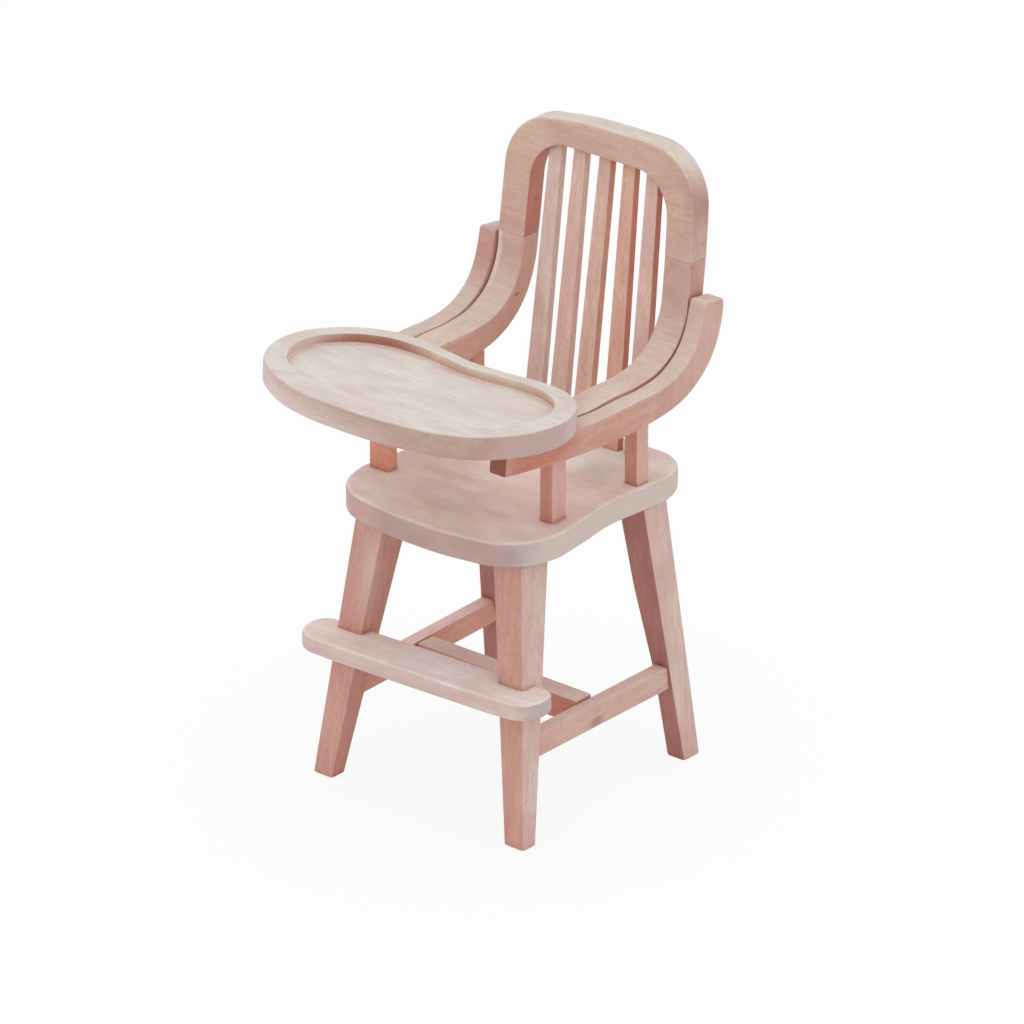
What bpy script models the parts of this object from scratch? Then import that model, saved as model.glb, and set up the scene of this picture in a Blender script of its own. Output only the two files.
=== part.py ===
# Dollhouse high chair in plain wood: a waisted seat on four splayed legs, a
# bent back arch with slats, and a rimmed tray on two arms that swings up and
# over the back on concealed pins.
# The front faces -Y, +Z is up and the feet stand on the plane Z = 0.

import math

import bmesh
import bpy
from mathutils import Matrix, Vector

MM = 0.001

# Overall clearances
GLUE_GAP = 0.05 * MM
RUN_GAP = 0.30 * MM
PIN_GAP = 0.05 * MM
CUT_OVER = 1.0 * MM

# Seat board
SEAT_TOP = 48.0 * MM
SEAT_THICK = 4.05 * MM
SEAT_ROUND = 0.6 * MM
SEAT_BOTTOM = SEAT_TOP - SEAT_THICK
SEAT_HALF_OUTLINE = (
    (0.0, -15.6),
    (8.5, -15.0),
    (15.5, -12.8),
    (19.0, -7.2),
    (18.75, 1.0),
    (17.7, 9.0),
    (18.2, 16.5),
    (18.1, 22.8),
    (14.8, 27.4),
    (8.0, 28.3),
    (0.0, 28.4),
)

# Legs: outer and inner side, front and rear face, at the foot and at 40 mm
LEG_GAUGE = 40.0 * MM
LEG_EDGE = 0.45 * MM
FRONT_FOOT = (17.05 * MM, 20.9 * MM, -15.15 * MM, -12.15 * MM)
FRONT_UPPER = (11.0 * MM, 16.6 * MM, -10.4 * MM, -4.4 * MM)
REAR_FOOT = (16.4 * MM, 19.9 * MM, 24.0 * MM, 27.8 * MM)
REAR_UPPER = (12.1 * MM, 17.2 * MM, 17.9 * MM, 23.3 * MM)
REAR_WAIST_HEIGHT = 14.0 * MM
REAR_WAIST_WIDTH = 3.5 * MM
REAR_KNEE_HEIGHT = 29.0 * MM
REAR_KNEE_WIDTH = 4.85 * MM
FOOT_CHAMFER = 0.15 * MM
LEG_TENON_WIDTH = 3.0 * MM
LEG_TENON_DEPTH = 3.2 * MM
LEG_TENON_LENGTH = 1.6 * MM

# Stretchers between the legs; the left one stands higher and rises rearwards
STRETCHER_TOP = 16.4 * MM
STRETCHER_LIFT = {"left": 0.3 * MM, "right": -0.25 * MM}
STRETCHER_TILT = {"left": 1.6, "right": 0.0}
STRETCHER_HEIGHT = 3.8 * MM
STRETCHER_THICK = 2.5 * MM
STRETCHER_ROUND = 0.35 * MM
STRETCHER_LAP = 0.8 * MM
STRETCHER_TENON_WIDTH = 1.4 * MM
STRETCHER_TENON_HEIGHT = 2.0 * MM
STRETCHER_TENON_LENGTH = 1.3 * MM
CROSS_Y = 4.95 * MM
CROSS_THICK = 3.7 * MM
CROSS_HEIGHT = 4.1 * MM
CROSS_TENON_WIDTH = 1.7 * MM
CROSS_TENON_HEIGHT = 1.9 * MM
CROSS_TENON_LENGTH = 1.2 * MM

# Footrest board, notched over the front legs. It sits slightly askew: its
# left end a little lower and its right end a little further back
FOOTREST_TOP = 24.3 * MM
FOOTREST_THICK = 2.75 * MM
FOOTREST_TILT = 0.8
FOOTREST_TURN = 1.2
FOOTREST_Y = -13.5 * MM
FOOTREST_ROUND = 0.5 * MM
FOOTREST_HALF_OUTLINE = (
    (0.0, -17.45),
    (10.0, -17.4),
    (17.0, -17.3),
    (20.9, -16.6),
    (22.5, -14.4),
    (22.7, -12.0),
    (21.5, -10.0),
    (17.5, -9.75),
    (10.0, -9.6),
    (0.0, -9.5),
)

# Arms: one centre line serves the fixed rails and the tray arms. Each point
# gives y, z, half the depth of the tray arm, and how far the rail reaches
# above (in front of) and below (behind) the line. The underside of the tray
# arms rises a little towards their front ends.
ARM_SLOPE = -0.080
ARM_HALF_DEPTH = 2.30
ARM_FRONT_Y = -20.6
ARM_FRONT_TAPER = 0.35
RAIL_FRONT_Y = -7.5
ARM_BEND_Y = 2.0
ARM_BEND_Z = 62.85
ARM_FRONT_HALF = ARM_HALF_DEPTH - ARM_FRONT_TAPER
ARM_FRONT_Z = ARM_BEND_Z + (ARM_FRONT_Y - ARM_BEND_Y) * ARM_SLOPE + ARM_FRONT_TAPER
RAIL_FRONT_Z = ARM_BEND_Z + (RAIL_FRONT_Y - ARM_BEND_Y) * ARM_SLOPE
ARM_LINE = (
    (ARM_FRONT_Y, ARM_FRONT_Z, ARM_FRONT_HALF, ARM_FRONT_HALF, ARM_FRONT_HALF),
    (RAIL_FRONT_Y, RAIL_FRONT_Z, ARM_HALF_DEPTH, ARM_HALF_DEPTH, ARM_HALF_DEPTH),
    (ARM_BEND_Y, ARM_BEND_Z, ARM_HALF_DEPTH, ARM_HALF_DEPTH, ARM_HALF_DEPTH),
    (8.0, 62.80, 2.45, 2.60, 2.20),
    (13.5, 62.92, 2.30, 2.45, 2.10),
    (18.0, 63.55, 2.30, 2.35, 1.90),
    (21.5, 65.00, 2.35, 2.25, 1.80),
    (24.3, 67.30, 2.40, 2.15, 1.70),
    (26.1, 70.20, 2.40, 2.05, 1.65),
    (27.1, 73.40, 2.35, 1.95, 1.70),
)
ARM_STEPS = 4
TRAY_ARM_END = {"left": (27.5, 76.40, 2.10), "right": (27.45, 75.65, 2.10)}
RAIL_FIRST_POINT = 1
RAIL_INNER_X = 13.4 * MM
RAIL_OUTER_X = 18.65 * MM
TRAY_ARM_THICK = 3.3 * MM
ARM_ROUND = 0.5 * MM

# Back arch, sawn straight through from front to rear along a backward lean.
# Heights above the hinge: the level from which the arch is measured, and the
# glued splice with each rail
LEAN_Y = 27.53 * MM
LEAN_RISE = 4.6 * MM
SPLICE_RISE = {"left": 3.4 * MM, "right": 7.5 * MM}
LEAN_RUN = 0.115
ARCH_THICK = 3.8 * MM
ARCH_RISE = 19.2 * MM
ARCH_CROWN = {"left": 0.85 * MM, "right": 0.0 * MM}
ARCH_OUTER_TOP_X = 18.4 * MM
ARCH_INNER_TOP_X = 13.2 * MM
ARCH_RAIL_HEIGHT = 4.62 * MM
ARCH_OUTER_RADIUS = {"left": 8.8 * MM, "right": 9.3 * MM}
ARCH_INNER_RADIUS = 6.4 * MM
ARCH_ROUND = 0.45 * MM
CORNER_STEPS = 10
CROWN_STEPS = 4
DOWEL_RADIUS = 0.8 * MM
DOWEL_LENGTH = 4.0 * MM

# Slats between the seat and the arch
SLAT_COUNT = 5
SLAT_TOP_PITCH = 4.7 * MM
SLAT_FOOT_PITCH = 5.1 * MM
SLAT_TOP_SHIFTS = (-0.2, -0.25, 0.0, -0.15, -0.3)
SLAT_FOOT_SHIFTS = (-0.2, -0.5, -0.9, 0.1, -0.4)
SLAT_TOP_WIDTH = 2.4 * MM
SLAT_FOOT_WIDTH = 3.4 * MM
SLAT_DEPTH = 1.5 * MM
SLAT_EDGE = 0.3 * MM
SLAT_IN_ARCH = 1.2 * MM
SLAT_IN_SEAT = 1.4 * MM

# Arm posts between the seat and the rails: distance outwards from the middle
# of the rail, centre y, width and depth
POST_FRONT_LEFT = (0.3 * MM, -3.6 * MM, 3.8 * MM, 2.2 * MM)
POST_FRONT_RIGHT = (-0.95 * MM, -1.5 * MM, 2.5 * MM, 3.3 * MM)
POST_REAR = (0.0, 16.7 * MM, 2.5 * MM, 2.8 * MM)
POST_EDGE = 0.3 * MM
POST_IN_SEAT = 1.3 * MM
POST_IN_RAIL = 1.0 * MM

# Tray: the shapes give shares of half the width and of the depth from the
# front, for each side between the two middles; the left end is cut a little
# narrower. The recess has the same shape inside the rims
TRAY_HALF_WIDTH = 26.0 * MM
TRAY_DEPTH = 30.9 * MM
TRAY_REAR_Y = -0.9 * MM
TRAY_THICK = 3.9 * MM
TRAY_SIDE_RIM = 3.2 * MM
TRAY_FRONT_RIM = 3.7 * MM
TRAY_REAR_RIM = 2.9 * MM
TRAY_RECESS = 1.5 * MM
TRAY_ROUND = 0.5 * MM
TRAY_FLOOR_ROUND = 0.3 * MM
TRAY_FRONT_MIDDLE = (0.0, 0.0)
TRAY_REAR_MIDDLE = (0.0, 0.945)
TRAY_SHAPE = {
    "left": (
        (0.40, 0.035),
        (0.68, 0.14),
        (0.89, 0.295),
        (1.0, 0.57),
        (0.93, 0.785),
        (0.72, 0.955),
        (0.42, 1.0),
        (0.17, 0.97),
    ),
    "right": (
        (0.42, 0.028),
        (0.70, 0.105),
        (0.90, 0.26),
        (1.0, 0.53),
        (0.93, 0.785),
        (0.76, 0.935),
        (0.54, 0.98),
        (0.24, 0.953),
    ),
}
OUTLINE_STEPS = 5

# Hinge of the tray arms, on the last point that arms and rails share
PIN_RADIUS = 0.75 * MM
PIN_IN_RAIL = 3.0 * MM
PIN_IN_ARM = 2.2 * MM
ROUND_STEPS = 24

# Quantities that follow from the sizes above
TRAY_TILT = math.atan(ARM_SLOPE)
FOOTREST_BOTTOM = FOOTREST_TOP - FOOTREST_THICK
STRETCHER_BOTTOM = STRETCHER_TOP - STRETCHER_HEIGHT
STRETCHER_MIDDLE = STRETCHER_TOP - STRETCHER_HEIGHT / 2
RAIL_MIDDLE_X = (RAIL_INNER_X + RAIL_OUTER_X) / 2
TRAY_ARM_INNER_X = RAIL_OUTER_X + RUN_GAP
HINGE_Y = ARM_LINE[-1][0] * MM
HINGE_Z = ARM_LINE[-1][1] * MM
HINGE = Vector((0.0, HINGE_Y, HINGE_Z))
LEAN_Z = HINGE_Z + LEAN_RISE
SOCKET_GROWTH = Vector((2 * GLUE_GAP, 2 * GLUE_GAP, 2 * GLUE_GAP))

SIDES = (("left", -1), ("right", 1))
UP = Vector((0.0, 0.0, 1.0))
SHARP_ANGLE = math.radians(45)
SMOOTH_ANGLE = math.radians(35)


# Scene set-up and materials

def clear_scene():
    for item in list(bpy.data.objects):
        bpy.data.objects.remove(item, do_unlink=True)


def new_collection(name):
    group = bpy.data.collections.new(name)
    bpy.context.scene.collection.children.link(group)
    return group


def make_material(name, color, roughness, metallic=0.0):
    material = bpy.data.materials.new(name)
    material.use_nodes = True
    shader = material.node_tree.nodes["Principled BSDF"]
    shader.inputs["Base Color"].default_value = (*color, 1.0)
    shader.inputs["Roughness"].default_value = roughness
    shader.inputs["Metallic"].default_value = metallic
    return material


def add_object(name, mesh, group):
    item = bpy.data.objects.new(name, mesh)
    group.objects.link(item)
    return item


def mesh_from_bmesh(name, form):
    bmesh.ops.recalc_face_normals(form, faces=form.faces)
    mesh = bpy.data.meshes.new(name)
    form.to_mesh(mesh)
    form.free()
    return mesh


# Shapes

def mirrored_outline(half, unit=MM):
    """Closed outline in metres from points listed front to rear at x >= 0."""
    right = [Vector((x * unit, y * unit)) for x, y in half]
    left = [Vector((-p.x, p.y)) for p in reversed(right[1:-1])]
    return right + left


def smooth_curve_plate(name, points, thickness, group):
    """Flat board from a smooth closed outline, lying from z = 0 upwards."""
    curve = bpy.data.curves.new(name, "CURVE")
    curve.dimensions = "2D"
    curve.fill_mode = "BOTH"
    curve.extrude = thickness / 2
    curve.resolution_u = OUTLINE_STEPS
    spline = curve.splines.new("BEZIER")
    spline.bezier_points.add(len(points) - 1)
    for anchor, point in zip(spline.bezier_points, points):
        anchor.co = (point.x, point.y, 0.0)
        anchor.handle_left_type = "AUTO"
        anchor.handle_right_type = "AUTO"
    spline.use_cyclic_u = True
    return curve_to_mesh_object(name, curve, thickness, group)


def polygon_plate(name, points, thickness, group):
    """Flat board from a closed outline of straight steps, from z = 0 upwards."""
    curve = bpy.data.curves.new(name, "CURVE")
    curve.dimensions = "2D"
    curve.fill_mode = "BOTH"
    curve.extrude = thickness / 2
    spline = curve.splines.new("POLY")
    spline.points.add(len(points) - 1)
    for anchor, point in zip(spline.points, points):
        anchor.co = (point.x, point.y, 0.0, 1.0)
    spline.use_cyclic_u = True
    return curve_to_mesh_object(name, curve, thickness, group)


def curve_to_mesh_object(name, curve, thickness, group):
    holder = add_object(name + "_outline", curve, group)
    bpy.context.view_layer.update()
    graph = bpy.context.evaluated_depsgraph_get()
    mesh = bpy.data.meshes.new_from_object(holder.evaluated_get(graph))
    bpy.data.objects.remove(holder, do_unlink=True)
    form = bmesh.new()
    form.from_mesh(mesh)
    bmesh.ops.remove_doubles(form, verts=form.verts, dist=0.005 * MM)
    bmesh.ops.translate(form, verts=form.verts, vec=(0.0, 0.0, thickness / 2))
    bmesh.ops.dissolve_limit(
        form,
        angle_limit=math.radians(0.5),
        verts=form.verts,
        edges=form.edges,
    )
    bmesh.ops.recalc_face_normals(form, faces=form.faces)
    form.to_mesh(mesh)
    form.free()
    mesh.name = name
    return add_object(name, mesh, group)


def rounded_rectangle(center, width, depth, edge):
    """Ring of points round a rectangle with softened corners."""
    ring = []
    corners = ((1, 1, 0), (-1, 1, 90), (-1, -1, 180), (1, -1, 270))
    for sign_x, sign_y, start in corners:
        middle_x = center[0] + sign_x * (width / 2 - edge)
        middle_y = center[1] + sign_y * (depth / 2 - edge)
        for step in range(3):
            turn = math.radians(start + step * 45)
            ring.append((middle_x + edge * math.cos(turn), middle_y + edge * math.sin(turn)))
    return ring


def loft_bar(name, stations, group):
    """Closed bar through rounded rectangles (x, y, z, width, depth, edge)."""
    form = bmesh.new()
    rings = []
    for x, y, z, width, depth, edge in stations:
        ring = rounded_rectangle((x, y), width, depth, edge)
        rings.append([form.verts.new((px, py, z)) for px, py in ring])
    for lower, upper in zip(rings, rings[1:]):
        for index in range(len(lower)):
            following = (index + 1) % len(lower)
            form.faces.new((lower[index], lower[following], upper[following], upper[index]))
    form.faces.new(list(reversed(rings[0])))
    form.faces.new(rings[-1])
    return add_object(name, mesh_from_bmesh(name, form), group)


def box(name, center, size, group, turn=None):
    form = bmesh.new()
    bmesh.ops.create_cube(form, size=1.0)
    bmesh.ops.scale(form, verts=form.verts, vec=size)
    if turn is not None:
        bmesh.ops.transform(form, matrix=turn, verts=form.verts)
    bmesh.ops.translate(form, verts=form.verts, vec=center)
    return add_object(name, mesh_from_bmesh(name, form), group)


def rod(name, start, end, radius, group):
    """Round rod between two points."""
    axis = Vector(end) - Vector(start)
    form = bmesh.new()
    bmesh.ops.create_cone(
        form,
        cap_ends=True,
        segments=ROUND_STEPS,
        radius1=radius,
        radius2=radius,
        depth=axis.length,
    )
    turn = UP.rotation_difference(axis).to_matrix().to_4x4()
    bmesh.ops.transform(form, matrix=turn, verts=form.verts)
    bmesh.ops.translate(form, verts=form.verts, vec=(Vector(start) + Vector(end)) / 2)
    return add_object(name, mesh_from_bmesh(name, form), group)


def move_mesh(item, matrix):
    item.data.transform(matrix)
    item.data.update()


def set_origin(item, point):
    item.data.transform(Matrix.Translation(-point))
    item.location = point


def soften(item, width, segments=2):
    bevel = item.modifiers.new("softened edges", "BEVEL")
    bevel.width = width
    bevel.segments = segments
    bevel.limit_method = "ANGLE"
    bevel.angle_limit = SHARP_ANGLE
    return bevel


def soften_except(item, width, spared):
    """Softens the sharp edges, except those with both ends on a spared plane."""
    form = bmesh.new()
    form.from_mesh(item.data)
    weights = form.edges.layers.float.new("bevel_weight_edge")
    for edge in form.edges:
        sharp = edge.calc_face_angle() > SHARP_ANGLE
        kept = any(
            all(abs((vertex.co - point).dot(normal)) < 0.01 * MM for vertex in edge.verts)
            for point, normal in spared
        )
        edge[weights] = 1.0 if sharp and not kept else 0.0
    form.to_mesh(item.data)
    form.free()
    bevel = item.modifiers.new("softened edges", "BEVEL")
    bevel.width = width
    bevel.segments = 2
    bevel.limit_method = "WEIGHT"


def cut(item, cutter):
    cutter.hide_render = True
    cutter.display_type = "WIRE"
    boolean = item.modifiers.new("cut " + cutter.name, "BOOLEAN")
    boolean.operation = "DIFFERENCE"
    boolean.solver = "EXACT"
    boolean.object = cutter


def finish(item, material):
    item.data.materials.clear()
    item.data.materials.append(material)
    for polygon in item.data.polygons:
        polygon.use_smooth = True
    item.data.set_sharp_from_angle(angle=SMOOTH_ANGLE)


# Positions shared by mating pieces

def leg_bounds(foot, upper, height):
    """Inner x, outer x, front y and rear y of a leg at a height."""
    share = height / LEG_GAUGE
    return tuple(low + (high - low) * share for low, high in zip(foot, upper))


def leg_station(foot, upper, height, side, grow, width=None):
    inner, outer, front, rear = leg_bounds(foot, upper, height)
    if width is not None:
        inner = outer - width
    center_x = side * (inner + outer) / 2
    center_y = (front + rear) / 2
    return (
        center_x,
        center_y,
        height,
        outer - inner + 2 * grow,
        rear - front + 2 * grow,
        LEG_EDGE,
    )


def leg_tenon_center(foot, upper, side):
    inner, outer, front, rear = leg_bounds(foot, upper, SEAT_BOTTOM)
    return (side * (inner + outer) / 2, (front + rear) / 2)


def stretcher_x():
    """Distance of the side stretchers from the middle, centred on the legs."""
    inner, outer, front, rear = leg_bounds(FRONT_FOOT, FRONT_UPPER, STRETCHER_MIDDLE)
    return (inner + outer) / 2


def slat_x(index, pitch, shifts):
    return (index - (SLAT_COUNT - 1) / 2) * pitch + shifts[index] * MM


def lean_y(height):
    """Middle of the arch and of the slats at a height."""
    return LEAN_Y + (height - LEAN_Z) * LEAN_RUN


def lean_axis():
    """Direction in which the arch rises."""
    return Vector((0.0, LEAN_RUN, 1.0)).normalized()


def splice_point(label, side):
    """Middle of the glued splice between the arch and a rail."""
    height = HINGE_Z + SPLICE_RISE[label]
    return Vector((side * RAIL_MIDDLE_X, lean_y(height), height))


def lean_shear():
    """Moves a shape backwards with its height, so that it leans."""
    return Matrix(((1, 0, 0, 0), (0, 1, LEAN_RUN, 0), (0, 0, 1, 0), (0, 0, 0, 1)))


def arm_samples(points, end_direction):
    """Smooth line through the arm points, with normals and reach on each side."""
    dense = []
    count = len(points)
    width = len(points[0])
    for index in range(count - 1):
        before = points[max(index - 1, 0)]
        start = points[index]
        end = points[index + 1]
        after = points[min(index + 2, count - 1)]
        for step in range(ARM_STEPS):
            t = step / ARM_STEPS
            dense.append(tuple(catmull(before[k], start[k], end[k], after[k], t) for k in range(width)))
    dense.append(points[-1])
    samples = []
    for index, (y, z, above, below) in enumerate(dense):
        previous = dense[max(index - 1, 0)]
        following = dense[min(index + 1, len(dense) - 1)]
        along = Vector((following[0] - previous[0], following[1] - previous[1])).normalized()
        if end_direction is not None and following is dense[index]:
            along = end_direction
        normal = Vector((-along.y, along.x))
        samples.append((Vector((y, z)) * MM, normal, above * MM, below * MM))
    return samples


def catmull(before, start, end, after, t):
    return 0.5 * (
        2 * start
        + (end - before) * t
        + (2 * before - 5 * start + 4 * end - after) * t ** 2
        + (3 * start - before - 3 * end + after) * t ** 3
    )


def arm_outline(points, end_direction=None):
    samples = arm_samples(points, end_direction)
    upper = [point + normal * above for point, normal, above, below in samples]
    lower = [point - normal * below for point, normal, above, below in samples]
    return upper + list(reversed(lower))


def rail_bottom_at(y):
    """Height of the underside of the rail at y, in millimetres."""
    line = [(point[0], point[1] - point[-1]) for point in ARM_LINE]
    for (y0, z0), (y1, z1) in zip(line, line[1:]):
        if y0 <= y <= y1:
            return z0 + (z1 - z0) * (y - y0) / (y1 - y0)
    raise ValueError("no rail above y = " + str(y))


def side_profile(name, points, inner_x, thickness, side, group):
    """Board cut to a (y, z) outline and standing from inner_x outwards."""
    board = polygon_plate(name, points, thickness, group)
    stand = Matrix(((0, 0, 1, 0), (1, 0, 0, 0), (0, 1, 0, 0), (0, 0, 0, 1)))
    start = inner_x if side > 0 else -inner_x - thickness
    move_mesh(board, Matrix.Translation((start, 0.0, 0.0)) @ stand)
    return board


# The pieces

def build_leg(name, foot, upper, side, group, material, waist=()):
    top = SEAT_BOTTOM - GLUE_GAP
    stations = [
        leg_station(foot, upper, 0.0, side, -FOOT_CHAMFER),
        leg_station(foot, upper, FOOT_CHAMFER, side, 0.0),
    ]
    for height, width in waist:
        stations.append(leg_station(foot, upper, height, side, 0.0, width))
    stations.append(leg_station(foot, upper, top, side, 0.0))
    x, y = leg_tenon_center(foot, upper, side)
    for height in (top, SEAT_BOTTOM + LEG_TENON_LENGTH):
        stations.append((x, y, height, LEG_TENON_WIDTH, LEG_TENON_DEPTH, LEG_EDGE))
    leg = loft_bar(name, stations, group)
    finish(leg, material)
    return leg


def grown_leg(name, foot, upper, side, group, waist=()):
    """Leg outline with the glue gap added, for fitting other pieces to it."""
    stations = [leg_station(foot, upper, -CUT_OVER, side, GLUE_GAP)]
    for height, width in waist:
        station = leg_station(foot, upper, height, side, 0.0, width)
        x, y, z, wide, deep, edge = station
        stations.append((x, y, z, wide + 2 * GLUE_GAP, deep + 2 * GLUE_GAP, edge))
    stations.append(leg_station(foot, upper, SEAT_BOTTOM, side, GLUE_GAP))
    return loft_bar(name, stations, group)


def build_side_stretcher(name, label, side, group, cutters, material):
    front = leg_bounds(FRONT_FOOT, FRONT_UPPER, STRETCHER_MIDDLE)[3]
    rear = leg_bounds(REAR_FOOT, REAR_UPPER, STRETCHER_MIDDLE)[2]
    start = front - STRETCHER_LAP
    end = rear + STRETCHER_LAP
    height = STRETCHER_MIDDLE + STRETCHER_LIFT[label]
    tilt = Matrix.Rotation(math.radians(STRETCHER_TILT[label]), 4, "X")
    center = (side * stretcher_x(), (start + end) / 2, height)
    size = (STRETCHER_THICK, end - start, STRETCHER_HEIGHT)
    bar = box(name, center, size, group, tilt)
    soften(bar, STRETCHER_ROUND)
    tenon_start = front - STRETCHER_TENON_LENGTH
    tenon_end = rear + STRETCHER_TENON_LENGTH
    tenon_center = (center[0], (tenon_start + tenon_end) / 2, height)
    tenon_size = (STRETCHER_TENON_WIDTH, tenon_end - tenon_start, STRETCHER_TENON_HEIGHT)
    core = box(name + "_tenons", tenon_center, tenon_size, cutters, tilt)
    socket_size = Vector(tenon_size) + SOCKET_GROWTH
    socket = box(name + "_sockets", tenon_center, socket_size, cutters, tilt)
    finish(bar, material)
    return bar, core, socket


def join(item, other):
    other.hide_render = True
    other.display_type = "WIRE"
    boolean = item.modifiers.new("join " + other.name, "BOOLEAN")
    boolean.operation = "UNION"
    boolean.solver = "EXACT"
    boolean.object = other


def build_cross_stretcher(group, cutters, material):
    shoulder = stretcher_x() - STRETCHER_THICK / 2 - GLUE_GAP
    center = (0.0, CROSS_Y, STRETCHER_MIDDLE)
    bar = box("cross_stretcher", center, (2 * shoulder, CROSS_THICK, CROSS_HEIGHT), group)
    soften(bar, STRETCHER_ROUND)
    length = 2 * (shoulder + CROSS_TENON_LENGTH)
    size = Vector((length, CROSS_TENON_WIDTH, CROSS_TENON_HEIGHT))
    core = box("cross_tenons", center, size, cutters)
    socket_size = size + SOCKET_GROWTH
    socket = box("cross_sockets", center, socket_size, cutters)
    join(bar, core)
    finish(bar, material)
    return socket


def build_seat(group, material):
    outline = mirrored_outline(SEAT_HALF_OUTLINE)
    seat = smooth_curve_plate("seat", outline, SEAT_THICK, group)
    move_mesh(seat, Matrix.Translation((0.0, 0.0, SEAT_BOTTOM)))
    soften(seat, SEAT_ROUND, 3)
    finish(seat, material)
    return seat


def build_footrest(group, material):
    outline = mirrored_outline(FOOTREST_HALF_OUTLINE)
    board = smooth_curve_plate("footrest", outline, FOOTREST_THICK, group)
    tilt = Matrix.Rotation(math.radians(-FOOTREST_TILT), 4, "Y")
    turn = Matrix.Rotation(math.radians(FOOTREST_TURN), 4, "Z")
    to_middle = Matrix.Translation((0.0, -FOOTREST_Y, 0.0))
    place = Matrix.Translation((0.0, FOOTREST_Y, FOOTREST_BOTTOM))
    move_mesh(board, place @ tilt @ turn @ to_middle)
    soften(board, FOOTREST_ROUND, 3)
    finish(board, material)
    return board


def slat_bar(name, index, grow, group):
    """Slat from inside the seat to inside the arch, enlarged by grow."""
    inner_rise = ARCH_RISE - ARCH_RAIL_HEIGHT
    corner_x = ARCH_INNER_TOP_X - ARCH_INNER_RADIUS
    foot_x = slat_x(index, SLAT_FOOT_PITCH, SLAT_FOOT_SHIFTS)
    top_x = slat_x(index, SLAT_TOP_PITCH, SLAT_TOP_SHIFTS)
    beyond = max(0.0, abs(top_x) - corner_x)
    drop = ARCH_INNER_RADIUS - math.sqrt(ARCH_INNER_RADIUS ** 2 - beyond ** 2)
    top = LEAN_Z + inner_rise - drop + SLAT_IN_ARCH + grow
    foot = SEAT_TOP - SLAT_IN_SEAT - grow
    stations = []
    for height, x, width in (
        (foot, foot_x, SLAT_FOOT_WIDTH),
        (top, top_x, SLAT_TOP_WIDTH),
    ):
        wide = width + 2 * grow
        deep = SLAT_DEPTH + 2 * grow
        stations.append((x, lean_y(height), height, wide, deep, SLAT_EDGE))
    return loft_bar(name, stations, group)


def post_bar(name, post, side, grow, group):
    """Arm post from inside the seat to inside the rail, enlarged by grow."""
    outwards, y, width, depth = post
    x = side * (RAIL_MIDDLE_X + outwards)
    top = rail_bottom_at(y / MM) * MM + POST_IN_RAIL + grow
    foot = SEAT_TOP - POST_IN_SEAT - grow
    section = (width + 2 * grow, depth + 2 * grow, POST_EDGE)
    return loft_bar(name, [(x, y, foot, *section), (x, y, top, *section)], group)


def arch_side(outer, top, radius, foot_x, foot, crown):
    """One half of an arch line, from the splice up to the middle of the top."""
    points = [Vector((foot_x, foot))]
    center = Vector((outer - radius, top - crown - radius))
    for step in range(CORNER_STEPS + 1):
        turn = math.radians(90) * step / CORNER_STEPS
        points.append(center + radius * Vector((math.cos(turn), math.sin(turn))))
    if crown:
        for step in range(1, CROWN_STEPS):
            share = 1 - step / CROWN_STEPS
            points.append(Vector((center.x * share, top - crown * share ** 2)))
    return points


def build_arch(group, material):
    inner_top = ARCH_RISE - ARCH_RAIL_HEIGHT
    outer = []
    inner = []
    for label, side in reversed(SIDES):
        foot = SPLICE_RISE[label] - LEAN_RISE + GLUE_GAP / 2
        crown = ARCH_CROWN[label]
        radius = ARCH_OUTER_RADIUS[label]
        high = arch_side(ARCH_OUTER_TOP_X, ARCH_RISE, radius, RAIL_OUTER_X, foot, crown)
        low = arch_side(ARCH_INNER_TOP_X, inner_top, ARCH_INNER_RADIUS, RAIL_INNER_X, foot, 0.0)
        outer.append([Vector((side * p.x, p.y)) for p in high])
        inner.append([Vector((side * p.x, p.y)) for p in low])
    rim = outer[0] + [Vector((0.0, ARCH_RISE))] + list(reversed(outer[1]))
    opening = inner[0] + list(reversed(inner[1]))
    arch = polygon_plate("back_arch", rim + list(reversed(opening)), ARCH_THICK, group)
    upright = Matrix.Rotation(math.radians(90), 4, "X")
    centered = Matrix.Translation((0.0, ARCH_THICK / 2, 0.0))
    place = Matrix.Translation((0.0, LEAN_Y, LEAN_Z))
    move_mesh(arch, place @ lean_shear() @ centered @ upright)
    spared = [(splice_point(label, side) + UP * GLUE_GAP / 2, UP) for label, side in SIDES]
    soften_except(arch, ARCH_ROUND, spared)
    finish(arch, material)
    return arch


def build_rail(name, label, side, group, material):
    """Fixed rail, bending upwards at the rear to its splice with the arch."""
    end = splice_point(label, side) - UP * GLUE_GAP / 2
    points = [(y, z, above, below) for y, z, half, above, below in ARM_LINE[RAIL_FIRST_POINT:]]
    reach = ARCH_THICK / 2 / MM
    points.append((end.y / MM, end.z / MM, reach, reach))
    outline = arm_outline(points, Vector((UP.y, UP.z)))
    thickness = RAIL_OUTER_X - RAIL_INNER_X
    rail = side_profile(name, outline, RAIL_INNER_X, thickness, side, group)
    soften_except(rail, ARM_ROUND, [(end, UP)])
    finish(rail, material)
    return rail


def build_tray_arm(name, label, side, group, material):
    points = [(y, z, half, half) for y, z, half, above, below in ARM_LINE]
    y, z, half = TRAY_ARM_END[label]
    points.append((y, z, half, half))
    outline = arm_outline(points)
    arm = side_profile(name, outline, TRAY_ARM_INNER_X, TRAY_ARM_THICK, side, group)
    soften(arm, ARM_ROUND)
    finish(arm, material)
    return arm


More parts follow.
